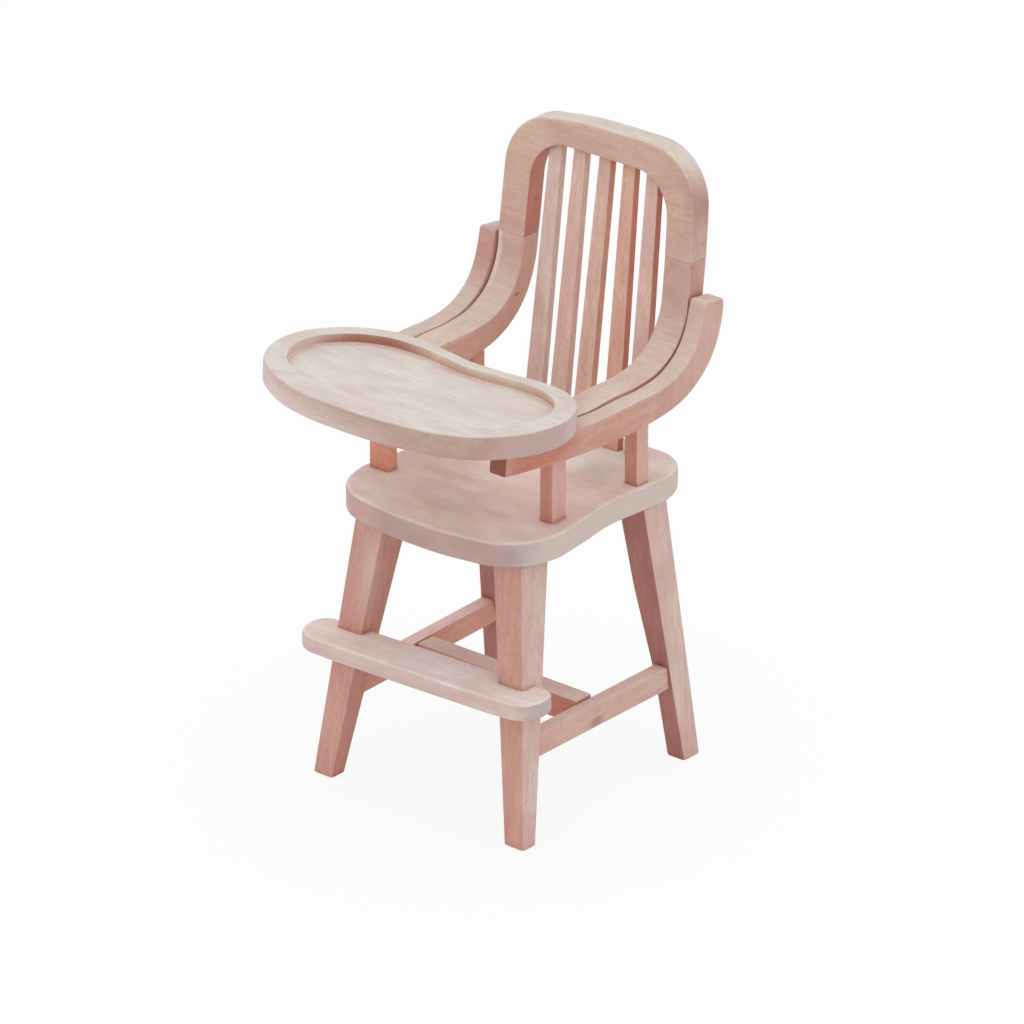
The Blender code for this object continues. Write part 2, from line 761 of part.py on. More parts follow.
def tray_matrix():
    """Places a board lying on z = 0 so that it rests on the tray arms."""
    along = Vector((1.0, ARM_SLOPE)).normalized()
    top_y = (ARM_BEND_Y - along.y * ARM_HALF_DEPTH) * MM
    top_z = (ARM_BEND_Z + along.x * ARM_HALF_DEPTH) * MM
    height = top_z - top_y * ARM_SLOPE + GLUE_GAP / along.x
    return Matrix.Translation((0.0, 0.0, height)) @ Matrix.Rotation(TRAY_TILT, 4, "X")


def tray_outline(side_rim, front_rim, rear_rim):
    """Outline of the tray, narrowed by the rims."""
    front = TRAY_REAR_Y - TRAY_DEPTH + front_rim
    depth = TRAY_REAR_Y - rear_rim - front
    half_width = TRAY_HALF_WIDTH - side_rim
    right = [TRAY_FRONT_MIDDLE, *TRAY_SHAPE["right"], TRAY_REAR_MIDDLE]
    left = [(-across, along) for across, along in reversed(TRAY_SHAPE["left"])]
    return [Vector((across * half_width, front + along * depth)) for across, along in right + left]


def build_tray(group, cutters, material):
    tray = smooth_curve_plate("tray", tray_outline(0.0, 0.0, 0.0), TRAY_THICK, group)
    soften(tray, TRAY_ROUND, 3)
    outline = tray_outline(TRAY_SIDE_RIM, TRAY_FRONT_RIM, TRAY_REAR_RIM)
    recess = smooth_curve_plate("tray_recess", outline, TRAY_RECESS + CUT_OVER, cutters)
    move_mesh(recess, Matrix.Translation((0.0, 0.0, TRAY_THICK - TRAY_RECESS)))
    soften(recess, TRAY_FLOOR_ROUND, 3)
    place = tray_matrix()
    move_mesh(tray, place)
    move_mesh(recess, place)
    cut(tray, recess)
    finish(tray, material)
    return tray


def main():
    clear_scene()
    parts = new_collection("dollhouse_high_chair")
    cutters = new_collection("cutters")
    cutters.hide_render = True

    pale = (0.66, 0.50, 0.42)
    rosy = (0.62, 0.44, 0.36)
    warm = (0.60, 0.41, 0.32)
    woods = {}

    def wood(name, tone, roughness=0.7):
        woods[name] = make_material("beech_" + name, tone, roughness)
        return woods[name]

    seat = build_seat(parts, wood("seat", pale))
    footrest = build_footrest(parts, wood("footrest", pale))

    rear_waist = (
        (REAR_WAIST_HEIGHT, REAR_WAIST_WIDTH),
        (REAR_KNEE_HEIGHT, REAR_KNEE_WIDTH),
    )
    for label, side in SIDES:
        front_name = "front_leg_" + label
        rear_name = "rear_leg_" + label
        front = build_leg(front_name, FRONT_FOOT, FRONT_UPPER, side, parts, wood(front_name, rosy))
        rear = build_leg(
            rear_name, REAR_FOOT, REAR_UPPER, side, parts, wood(rear_name, rosy), rear_waist
        )
        front_grown = grown_leg(front_name + "_space", FRONT_FOOT, FRONT_UPPER, side, cutters)
        rear_grown = grown_leg(
            rear_name + "_space", REAR_FOOT, REAR_UPPER, side, cutters, rear_waist
        )
        cut(footrest, front_grown)

        name = "side_stretcher_" + label
        bar, core, socket = build_side_stretcher(
            name, label, side, parts, cutters, wood(name, warm)
        )
        cut(bar, front_grown)
        cut(bar, rear_grown)
        join(bar, core)
        cut(front, socket)
        cut(rear, socket)

        for foot, upper, leg_name in (
            (FRONT_FOOT, FRONT_UPPER, front_name),
            (REAR_FOOT, REAR_UPPER, rear_name),
        ):
            x, y = leg_tenon_center(foot, upper, side)
            width = LEG_TENON_WIDTH + 2 * GLUE_GAP
            depth = LEG_TENON_DEPTH + 2 * GLUE_GAP
            mortise = loft_bar(
                leg_name + "_mortise",
                [
                    (x, y, SEAT_BOTTOM - CUT_OVER, width, depth, LEG_EDGE),
                    (x, y, SEAT_BOTTOM + LEG_TENON_LENGTH + GLUE_GAP, width, depth, LEG_EDGE),
                ],
                cutters,
            )
            cut(seat, mortise)

    cross_sockets = build_cross_stretcher(parts, cutters, wood("cross_stretcher", warm))
    for label, side in SIDES:
        cut(bpy.data.objects["side_stretcher_" + label], cross_sockets)

    arch = build_arch(parts, wood("back_arch", pale))
    rails = {}
    for label, side in SIDES:
        name = "arm_rail_" + label
        rails[label] = build_rail(name, label, side, parts, wood(name, pale))

    for index in range(SLAT_COUNT):
        name = "slat_" + str(index + 1)
        slat = slat_bar(name, index, 0.0, parts)
        finish(slat, wood(name, rosy))
        slot = slat_bar(name + "_slot", index, GLUE_GAP, cutters)
        cut(seat, slot)
        cut(arch, slot)

    front_posts = {"left": POST_FRONT_LEFT, "right": POST_FRONT_RIGHT}
    for label, side in SIDES:
        for name, post in (
            ("front_post_" + label, front_posts[label]),
            ("rear_post_" + label, POST_REAR),
        ):
            bar = post_bar(name, post, side, 0.0, parts)
            finish(bar, wood(name, warm))
            slot = post_bar(name + "_slot", post, side, GLUE_GAP, cutters)
            cut(seat, slot)
            cut(rails[label], slot)

    axis = lean_axis()
    tray = build_tray(parts, cutters, wood("tray", pale))
    moving = [tray]
    steel = (0.58, 0.58, 0.60)
    for label, side in SIDES:
        middle = splice_point(label, side)
        reach = axis * DOWEL_LENGTH / 2
        name = "splice_dowel_" + label
        dowel = rod(name, middle - reach, middle + reach, DOWEL_RADIUS, parts)
        finish(dowel, wood(name, warm))
        bore_reach = reach + axis * GLUE_GAP
        bore_name = name + "_bore"
        bore = rod(
            bore_name, middle - bore_reach, middle + bore_reach, DOWEL_RADIUS + GLUE_GAP, cutters
        )
        cut(arch, bore)
        cut(rails[label], bore)

        name = "tray_arm_" + label
        arm = build_tray_arm(name, label, side, parts, wood(name, pale))
        inner_end = Vector((side * (RAIL_OUTER_X - PIN_IN_RAIL), HINGE_Y, HINGE_Z))
        outer_end = Vector((side * (TRAY_ARM_INNER_X + PIN_IN_ARM), HINGE_Y, HINGE_Z))
        pin_name = "hinge_pin_" + label
        pin = rod(pin_name, inner_end, outer_end, PIN_RADIUS, parts)
        finish(pin, make_material("steel_" + pin_name, steel, 0.35, 1.0))
        beyond = Vector((side * PIN_GAP, 0.0, 0.0))
        bore = rod(
            pin_name + "_bore", inner_end - beyond, outer_end + beyond, PIN_RADIUS + PIN_GAP, cutters
        )
        cut(arm, bore)
        cut(rails[label], bore)
        moving += [arm, pin]

    for item in moving:
        set_origin(item, HINGE)


main()
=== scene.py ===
import math

import bmesh
import bpy
from bpy.props import FloatProperty, FloatVectorProperty, PointerProperty
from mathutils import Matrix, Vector

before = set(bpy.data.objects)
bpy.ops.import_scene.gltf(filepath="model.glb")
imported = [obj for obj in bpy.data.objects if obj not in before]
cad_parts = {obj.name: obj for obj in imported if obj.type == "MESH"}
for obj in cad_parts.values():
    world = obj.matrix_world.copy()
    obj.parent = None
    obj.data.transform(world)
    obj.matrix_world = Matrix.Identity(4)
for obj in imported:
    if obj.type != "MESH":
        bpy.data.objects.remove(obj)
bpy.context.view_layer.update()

bl_info = {
    "name": "Dollhouse high chair",
    "version": (1, 0, 0),
    "blender": (4, 5, 0),
    "location": "View3D > Sidebar > High chair",
    "description": "Bare beech finishes and a studio for a dollhouse high chair",
    "category": "Object",
}

MM = 0.001
SIDES = ("left", "right")

# How the facets of the solids are shaded
SHARP_ANGLE = math.radians(38)
SAME_POINT = 0.001 * MM

# Directions of the grain: the axes along, across and through it
GRAIN_TURNS = {
    "X": (0, 1, 2),
    "Y": (1, 2, 0),
    "Z": (2, 0, 1),
}

# Arms: where their grain turns upwards and where their cut front ends stop, in millimetres
BEND_START = 15.0
BEND_END = 27.0
ARM_END_FRONT = -12.0
ARM_END_REAR = -10.0

# Tray: its slope, its middle and the levels of its recess, in millimetres
TRAY_SLOPE = -0.08
TRAY_MIDDLE = -14.8
WALL_FOOT = (67.75, 68.05)
WALL_HEAD = (68.3, 69.3)
RIM_START = (68.1, 69.0)

# How far from the middle the inner and the outer tones blend, in millimetres
MIDDLE_BLEND = 2.0

# Waves per millimetre along and across the grain
DRIFT_WAVES = (0.06, 0.16)
STREAK_WAVES = (0.14, 1.9)
FIBRE_WAVES = (0.8, 7.0)
PATCH_WAVES = (0.13, 0.32)
BLUSH_WAVES = (0.11, 0.2)
FLECK_WAVES = (0.7, 3.4)
PORE_WAVES = 4.0
WIRE_WAVES = (0.4, 12.0)

# Detail and roughness of the noises
STREAK_NOISE = (3.0, 0.62)
FIBRE_NOISE = (2.0, 0.6)
PATCH_NOISE = (2.0, 0.55)
BLUSH_NOISE = (1.0, 0.5)
DRIFT_NOISE = (2.0, 0.5)
PORE_NOISE = (2.0, 0.7)
WIRE_NOISE = (2.0, 0.5)

# Values of a noise between which its figure comes in
LATE_WOOD = (0.35, 0.95)
NEXT_RING = (0.95, 1.0)
PALE_PATCHES = (0.32, 0.68)
PINK_PATCHES = (0.38, 0.62)
DARK_STREAKS = (0.48, 0.74)
PALE_STREAKS = (0.26, 0.46)
DARK_FIBRES = (0.50, 0.74)
PALE_FIBRES = (0.28, 0.48)
FLECK_CELLS = (0.10, 0.34)
FLECK_PATCHES = (0.35, 0.6)
OPEN_PORES = (0.42, 0.72)
WIRE_LINES = (0.3, 0.7)

# Values of closeness between which an edge, a hollow and a joint come in
NEAR_EDGE = (0.55, 0.95)
NEAR_HOLLOW = (0.25, 0.95)
NEAR_JOINT = (0.35, 0.95)

# How far apart the noises of the pieces and of the blush lie, in waves
SEED_STEP = 37.0
BLUSH_SHIFT = 9.0

# Growth rings: where their heart lies beside a piece and how far they bend, in millimetres
HEART_STEP = 3.1
HEART_DEPTH = 19.0
RING_BEND = 5.0

# Shares of its direction between which a face comes to count as looking that way
UPWARD = (0.2, 0.85)
SIDEWAYS = (0.35, 0.9)
ENDWISE = (0.75, 0.93)
FORWARD = (-0.9, -0.75)

# Tints that the tones are multiplied by
WHITE = (1.0, 1.0, 1.0)
DARK_GRAIN = (0.84, 0.74, 0.70)
PALE_GRAIN = (1.05, 1.08, 1.09)
DULL_PATCH = (0.95, 0.93, 0.92)
CREAM_PATCH = (1.02, 1.03, 0.95)
PINK_PATCH = (1.00, 0.90, 0.90)
DARK_PORE = (0.8, 0.7, 0.66)
DARK_STAIN = (0.58, 0.36, 0.28)
# Pale edges are partly wear and partly a painted highlight; sheltered faces get red painted shade,
# as if light bounced between the parts; joints get dirt and painted shade.
PALE_EDGE_WEAR_AND_HIGHLIGHT = (1.10, 1.12, 1.12)
RED_PAINTED_SHADE = (0.86, 0.60, 0.50)
JOINT_DIRT_AND_SHADE = (0.66, 0.42, 0.32)

# Tones of the steel
DARK_STEEL = (0.42, 0.42, 0.43)
PALE_STEEL = (0.62, 0.61, 0.60)

# Strengths of the finest details
PALE_STREAK_STRENGTH = 0.3
FIBRE_STRENGTH = 0.4
PORE_STRENGTH = 0.5
THIN_FLECKS = 0.35

# Edge of a stain or wash, in shares of its size, and how ragged it is
SPOT_EDGE = (0.3, 1.1)
STAIN_RAGGED = 0.9
WASH_RAGGED = 0.5

# Surfaces of the wood and of the wire, in metres where they are lengths
CLOSENESS_SAMPLES = 6
WOOD_ROUGHNESS = 0.58
FIBRE_ROUGHNESS = 0.12
STREAK_ROUGHNESS = 0.1
WOOD_SHEEN = 0.3
WOOD_RELIEF = 0.06 * MM
WOOD_RELIEF_STRENGTH = 0.6
FIBRE_HEIGHT = 0.4
STREAK_HEIGHT = 0.6
FLECK_DEPTH = 0.3
PATCH_HEIGHT = 1.5
PORE_HEIGHT = 0.8
WIRE_ROUGHNESS = 0.3
LINE_ROUGHNESS = 0.2
WIRE_RELIEF = 0.01 * MM
WIRE_RELIEF_STRENGTH = 0.5

# Studio, in metres, and the camera's sensor in millimetres
FLOOR_REACH = 6.0
FLOOR_ROUGHNESS = 0.9
FLOOR_SHEEN = 0.1
FLOOR_WHITE = 0.88
KEY_PLACE = (0.02, -0.06, 0.62)
KEY_SIZE = 0.55
SIDE_PLACE = (0.62, -0.16, 0.34)
SIDE_SIZE = 0.45
LIGHT_AIM = (0.0, 0.0, 0.045)
PICTURE_WIDTH = 1024
SENSOR_WIDTH = 36.0
NEAREST = 0.05
FARTHEST = 20.0


# Kinds of settings

def linear(red, green, blue):
    """Linear colour from display values between 0 and 255."""
    values = []
    for value in (red, green, blue):
        level = value / 255
        values.append(level / 12.92 if level <= 0.04045 else ((level + 0.055) / 1.055) ** 2.4)
    return tuple(values)


def tone(name, description, red, green, blue):
    """Colour setting, with its default as display values."""
    return FloatVectorProperty(
        name=name,
        description=description,
        subtype="COLOR",
        size=3,
        min=0.0,
        max=1.0,
        default=linear(red, green, blue),
    )


def share(name, description, default):
    """Setting between 0 and 1."""
    return FloatProperty(
        name=name,
        description=description,
        subtype="FACTOR",
        min=0.0,
        max=1.0,
        default=default,
    )


def length(name, description, default, lowest, highest):
    """Length setting, with its default and limits in metres."""
    return FloatProperty(
        name=name,
        description=description,
        subtype="DISTANCE",
        unit="LENGTH",
        precision=5,
        min=lowest,
        max=highest,
        default=default,
    )


def pixels(name, description, default):
    """Setting in pixels of the picture."""
    return FloatProperty(
        name=name,
        description=description,
        subtype="PIXEL",
        default=default,
    )


def power(name, description, default):
    """Power of a light in watts."""
    return FloatProperty(
        name=name,
        description=description,
        subtype="POWER",
        unit="POWER",
        min=0.0,
        default=default,
    )


# Shader maths

class Value:
    """A node socket that can be used in plain arithmetic."""

    def __init__(self, nodes, socket):
        self.nodes = nodes
        self.socket = socket

    def _math(self, operation, first, second=None):
        inputs = {0: first}
        if second is not None:
            inputs[1] = second
        return self.nodes.node("ShaderNodeMath", {"operation": operation}, inputs)

    def __add__(self, other):
        return self._math("ADD", self, other)

    __radd__ = __add__

    def __sub__(self, other):
        return self._math("SUBTRACT", self, other)

    def __rsub__(self, other):
        return self._math("SUBTRACT", other, self)

    def __mul__(self, other):
        return self._math("MULTIPLY", self, other)

    def __truediv__(self, other):
        return self._math("DIVIDE", self, other)

    def __pow__(self, other):
        return self._math("POWER", self, other)

    def __abs__(self):
        return self._math("ABSOLUTE", self)

    def fraction(self):
        """What stands behind the decimal point."""
        return self._math("FRACT", self)

    def ramp(self, low, high, bottom=0.0, top=1.0):
        """Smooth step from bottom to top while the value goes from low to high."""
        return self.nodes.node(
            "ShaderNodeMapRange",
            {"interpolation_type": "SMOOTHSTEP"},
            {"Value": self, "From Min": low, "From Max": high, "To Min": bottom, "To Max": top},
        )

    def fall(self, low, high):
        """Smooth step from 1 to 0 while the value goes from low to high."""
        return self.ramp(low, high, 1.0, 0.0)


class Nodes:
    """A node tree and the nodes that are added to it."""

    def __init__(self, tree):
        self.tree = tree

    def node(self, kind, settings=None, inputs=None, output=0):
        """Adds a node: settings first, then values or links for its sockets."""
        node = self.tree.nodes.new(kind)
        for key, value in (settings or {}).items():
            setattr(node, key, value)
        for key, value in (inputs or {}).items():
            self.feed(node.inputs[key], value)
        if len(node.outputs) == 0:
            return None
        return Value(self, node.outputs[output])

    def feed(self, socket, value):
        """Links a value to a socket, or sets the socket to a plain number or colour."""
        if isinstance(value, Value):
            self.tree.links.new(value.socket, socket)
        elif socket.type == "RGBA":
            socket.default_value = (*value[:3], 1.0)
        else:
            socket.default_value = value

    def other(self, value, name):
        """Another output of the node that a value comes from."""
        return Value(self, value.socket.node.outputs[name])

    def background_rays(self):
        """1 for rays that show the background straight, in gloss or through glass."""
        camera_ray = self.node("ShaderNodeLightPath", output="Is Camera Ray")
        glossy_ray = self.other(camera_ray, "Is Glossy Ray")
        return camera_ray + glossy_ray + self.other(camera_ray, "Is Transmission Ray")


class Shader(Nodes):
    """One material and the nodes that are added to it."""

    def __init__(self, name):
        self.material = bpy.data.materials.new(name)
        self.material.use_nodes = True
        super().__init__(self.material.node_tree)
        self.surface = self.tree.nodes["Principled BSDF"]

    def place(self):
        """Position in the piece, in millimetres."""
        found = self.node("ShaderNodeTexCoord", output="Object")
        return self.vector_math("SCALE", {0: found, "Scale": 1 / MM})

    def facing(self):
        """Which way the surface looks, in the piece's own axes."""
        return self.node("ShaderNodeTexCoord", output="Normal")

    def parts(self, vector):
        """The three numbers of a vector."""
        found = self.node("ShaderNodeSeparateXYZ", inputs={0: vector})
        return found, self.other(found, "Y"), self.other(found, "Z")

    def vector(self, x, y, z):
        """A vector of three numbers."""
        return self.node("ShaderNodeCombineXYZ", inputs={0: x, 1: y, 2: z})

    def vector_math(self, operation, inputs, output=0):
        """Arithmetic on vectors."""
        return self.node("ShaderNodeVectorMath", {"operation": operation}, inputs, output)

    def noise(self, vector, detail, roughness, scale=1.0):
        """Soft cloudy noise between 0 and 1."""
        return self.node(
            "ShaderNodeTexNoise",
            {"noise_dimensions": "3D"},
            {"Vector": vector, "Scale": scale, "Detail": detail, "Roughness": roughness},
        )

    def mix(self, factor, first, second, blend="MIX"):
        """Mix of two colours."""
        settings = {"data_type": "RGBA", "blend_type": blend}
        return self.node("ShaderNodeMix", settings, {0: factor, 6: first, 7: second}, output=2)

    def tinted(self, colour, tint):
        """A colour multiplied by a tint."""
        return self.mix(1.0, colour, tint, "MULTIPLY")

    def closeness(self, reach, inside=False):
        """Falls below 1 where other surfaces stand within reach."""
        return self.node(
            "ShaderNodeAmbientOcclusion",
            {"samples": CLOSENESS_SAMPLES, "inside": inside, "only_local": inside},
            {"Distance": reach},
            output="AO",
        )

    def distance(self, place, centre, size):
        """Distance from a middle, as a share of the size along each axis."""
        offset = self.vector_math("SUBTRACT", {0: place, 1: centre})
        scaled = self.vector_math("DIVIDE", {0: offset, 1: size})
        return self.vector_math("LENGTH", {0: scaled}, output="Value")

    def bump(self, height, distance, strength):
        """Surface direction with a relief from a height."""
        inputs = {"Height": height, "Distance": distance, "Strength": strength}
        return self.node("ShaderNodeBump", inputs=inputs)


# Bare beech

class Beech(Shader):
    """Bare sanded beech of one piece, in the steps in which it is coloured."""

    def __init__(self, name, grain, seed, detail):
        super().__init__("beech_" + name)
        self.detail = detail
        self.seed = seed
        self.shift = seed * SEED_STEP
        self.point = self.place()
        self.axes = self.parts(self.point)
        self.look = self.parts(self.facing())
        self.upward = self.look[2].ramp(*UPWARD)
        if grain == "BENT":
            self.bend_grain()
        else:
            self.run_grain(GRAIN_TURNS[grain])
        self.long_grain = 1 - self.end_grain
        self.draw_figure()

    def run_grain(self, turn):
        """Straight grain, with cut ends where the surface looks along it."""
        self.along, self.across, self.through = (self.axes[index] for index in turn)
        self.end_grain = abs(self.look[turn[0]]).ramp(*ENDWISE)

    def bend_grain(self):
        """Grain that runs rearwards along an arm and turns upwards with its bend."""
        x, y, z = self.axes
        turn = y.ramp(BEND_START, BEND_END)
        self.along = y + (z - y) * turn
        self.across = z - (z + y) * turn
        self.through = x
        self.end_grain = self.look[1].fall(*FORWARD) * y.fall(ARM_END_FRONT, ARM_END_REAR)

    def stretched(self, waves, offset):
        """Position in waves along and across the grain, moved by an offset."""
        lengthwise, crosswise = waves
        spots = (self.along * lengthwise, self.across * crosswise, self.through * crosswise)
        return self.vector(*(spot + move if move else spot for spot, move in zip(spots, offset)))

    def draw_figure(self):
        """Streaks, fibre, patches, flecks and pores, for the colour and the relief."""
        self.streak = self.noise(self.stretched(STREAK_WAVES, (self.shift, 0, 0)), *STREAK_NOISE)
        self.fibre = self.noise(self.stretched(FIBRE_WAVES, (0, self.shift, 0)), *FIBRE_NOISE)
        self.patch = self.noise(self.stretched(PATCH_WAVES, (0, 0, self.shift)), *PATCH_NOISE)
        cells = self.node(
            "ShaderNodeTexVoronoi",
            {"voronoi_dimensions": "3D", "feature": "F1"},
            {"Vector": self.stretched(FLECK_WAVES, (self.shift, 0, 0)), "Scale": 1.0},
        )
        thinning = self.patch.ramp(*FLECK_PATCHES, THIN_FLECKS, 1.0)
        self.fleck = cells.fall(*FLECK_CELLS) * thinning
        self.pores = self.noise(self.point, *PORE_NOISE, PORE_WAVES)

    def late_wood(self):
        """Dark outer part of each growth ring, round a heart beside the piece."""
        drift = self.noise(self.stretched(DRIFT_WAVES, (0, self.shift, 0)), *DRIFT_NOISE)
        bend = (drift - 0.5) * RING_BEND
        across = self.across + bend + self.seed * HEART_STEP
        through = self.through + HEART_DEPTH + bend
        ring_gap = self.detail.ring_gap / MM
        ring = ((across ** 2.0 + through ** 2.0) ** 0.5 / ring_gap).fraction()
        return ring.ramp(*LATE_WOOD) * ring.fall(*NEXT_RING)

    def base(self, tones, tint, faces):
        """Tone of each face, before the grain is drawn on it; these tones hold painted light and
        shade.
        """
        inner, front, top = faces(self, tones)
        outer = (self.axes[0] * self.look[0]).ramp(-MIDDLE_BLEND, MIDDLE_BLEND)
        sideways = self.mix(outer, inner, tones.side)
        colour = self.mix(abs(self.look[0]).ramp(*SIDEWAYS), front, sideways)
        colour = self.mix(self.upward, colour, top)
        return self.tinted(colour, tint)

    def grained(self, base, figure):
        """The base tone with patches, rings, streaks, fibre and flecks."""
        detail = self.detail
        darker = self.tinted(base, DARK_GRAIN)
        paler = self.tinted(base, PALE_GRAIN)
        wood = self.mix(self.patch.ramp(*PALE_PATCHES), self.tinted(base, DULL_PATCH), paler)
        blush_place = self.stretched(BLUSH_WAVES, (BLUSH_SHIFT, self.shift, 0))
        blush = self.noise(blush_place, *BLUSH_NOISE)
        cream = self.tinted(wood, CREAM_PATCH)
        pink = self.tinted(wood, PINK_PATCH)
        blushed = self.mix(blush.ramp(*PINK_PATCHES), cream, pink)
        wood = self.mix(detail.blush_strength * figure, wood, blushed)
        rings = self.late_wood() * (detail.ring_strength * figure)
        dark_streaks = self.streak.ramp(*DARK_STREAKS) * (detail.streak_strength * figure)
        pale_streaks = self.streak.fall(*PALE_STREAKS) * PALE_STREAK_STRENGTH
        dark_fibres = self.fibre.ramp(*DARK_FIBRES) * (FIBRE_STRENGTH * figure)
        pale_fibres = self.fibre.fall(*PALE_FIBRES) * (FIBRE_STRENGTH * figure)
        flecks = self.fleck * (detail.fleck_strength * figure)
        for mask, colour in (
            (rings, darker),
            (dark_streaks, darker),
            (pale_streaks, paler),
            (dark_fibres, darker),
            (pale_fibres, paler),
            (flecks, darker),
        ):
            wood = self.mix(mask * self.long_grain, wood, colour)
        return wood

    def cut(self, wood, tones, tint, ends):
        """The wood with its cut ends."""
        cut_end = self.tinted(tones.ends, tint)
        pored = self.tinted(cut_end, DARK_PORE)
        cut_end = self.mix(self.pores.ramp(*OPEN_PORES) * PORE_STRENGTH, cut_end, pored)
        return self.mix(self.end_grain * (self.detail.end_grain_strength * ends), wood, cut_end)

    def spot(self, centre, size, ragged):
        """1 in the middle of a spot, falling to 0 at its ragged edge."""
        return (self.distance(self.point, centre, size) + ragged).fall(*SPOT_EDGE)

    def stained(self, wood, base, stains):
        """The wood with its dark stains, drawn out by the fibre."""
        ragged = (self.fibre - 0.5) * STAIN_RAGGED
        stain_tone = self.tinted(base, DARK_STAIN)
        for centre, size, strength in stains:
            wood = self.mix(self.spot(centre, size, ragged) * strength, wood, stain_tone)
        return wood

    def washed(self, wood, washes):
        """The wood with its soft paler and darker spots."""
        ragged = (self.patch - 0.5) * WASH_RAGGED
        lies_on = {"top": self.upward, "sides": 1 - self.upward, "all": 1.0}
        for faces, centre, size, tint in washes:
            wash = self.spot(centre, size, ragged) * lies_on[faces]
            wood = self.mix(wash, wood, self.tinted(wood, tint))
        return wood

    def worn(self, wood, hollows, joints):
        """The wood with pale edges, partly wear and partly a painted highlight, red painted shade
        on faces sheltered by other parts, and dirt and painted shade in the joints.
        """
        detail = self.detail
        edge = self.closeness(detail.edge_reach, inside=True).fall(*NEAR_EDGE)
        # Where other parts stand close: red painted shade there
        hollow = self.closeness(detail.painted_shade_reach).fall(*NEAR_HOLLOW)
        joint_dirt_and_shade = self.closeness(detail.crevice_reach).fall(*NEAR_JOINT)
        for mask, tint in (
            (edge * detail.edge_strength, PALE_EDGE_WEAR_AND_HIGHLIGHT),
            (hollow * (detail.painted_shade_strength * hollows), RED_PAINTED_SHADE),
            (joint_dirt_and_shade * (detail.crevice_strength * joints), JOINT_DIRT_AND_SHADE),
        ):
            wood = self.mix(mask, wood, self.tinted(wood, tint))
        return wood

    def finished(self, wood):
        """The material with its colour, roughness and relief."""
        surface = self.surface.inputs
        self.feed(surface["Base Color"], wood)
        roughness = WOOD_ROUGHNESS + self.fibre * FIBRE_ROUGHNESS + self.streak * STREAK_ROUGHNESS
        self.feed(surface["Roughness"], roughness)
        surface["Specular IOR Level"].default_value = WOOD_SHEEN
        height = self.fibre * FIBRE_HEIGHT + self.streak * STREAK_HEIGHT
        height = height - self.fleck * FLECK_DEPTH + self.patch * PATCH_HEIGHT
        height = height + self.pores * self.end_grain * PORE_HEIGHT
        self.feed(surface["Normal"], self.bump(height, WOOD_RELIEF, WOOD_RELIEF_STRENGTH))
        return self.material


def plain_faces(wood, tones):
    """Tones of the inner sides, of the front and rear faces and of the top."""
    return tones.inner, tones.front, tones.top


def tray_faces(wood, tones):
    """The same for the tray, whose recess wall fades into the floor and the rim; the wall's darker
    tone is painted shade.
    """
    y, z = wood.axes[1:]
    level = z - y * TRAY_SLOPE
    top = wood.mix(level.ramp(*RIM_START), tones.top, tones.rim)
    band = level.ramp(*WALL_FOOT) * level.fall(*WALL_HEAD)
    outward = ((y - TRAY_MIDDLE) * wood.look[1]).ramp(-MIDDLE_BLEND, MIDDLE_BLEND)
    front = wood.mix(outward, wood.mix(band, top, tones.wall), tones.front)
    return wood.mix(band, top, tones.inner), front, top


def beech(
    name, tones, grain, seed, detail, tint=WHITE, stains=(), washes=(),
    figure=1.0, ends=1.0, hollows=1.0, joints=1.0, faces=plain_faces,
):
    """Bare sanded beech, with tones by the way that the surface looks, which hold painted light
    and shade.

    A stain has a middle and a size in millimetres and a strength. A wash has the
    faces that it lies on, a middle, a size and a tint. Figure, ends, hollows and
    joints say how strongly the grain, the cut ends, the red painted shade on the
    sheltered faces and the dirt and painted shade in the crevices show.
    """
    wood = Beech(name, grain, seed, detail)
    base = wood.base(tones, tint, faces)
    colour = wood.grained(base, figure)
    colour = wood.cut(colour, tones, tint, ends)
    colour = wood.stained(colour, base, stains)
    colour = wood.washed(colour, washes)
    # Pale edges with a painted highlight, red painted shade in the hollows, dirt and painted shade
    # in the joints
    colour = wood.worn(colour, hollows, joints)
    return wood.finished(colour)


def drawn_steel(name):
    """Steel wire of a pin, with fine lines from drawing."""
    shader = Shader("steel_" + name)
    x, y, z = shader.parts(shader.place())
    lengthwise, crosswise = WIRE_WAVES
    stretched = shader.vector(x * lengthwise, y * crosswise, z * crosswise)
    lines = shader.noise(stretched, *WIRE_NOISE)
    tint = shader.mix(lines.ramp(*WIRE_LINES), DARK_STEEL, PALE_STEEL)
    surface = shader.surface.inputs
    shader.feed(surface["Base Color"], tint)
    shader.feed(surface["Roughness"], WIRE_ROUGHNESS + lines * LINE_ROUGHNESS)
    surface["Metallic"].default_value = 1.0
    shader.feed(surface["Normal"], shader.bump(lines, WIRE_RELIEF, WIRE_RELIEF_STRENGTH))
    return shader.material


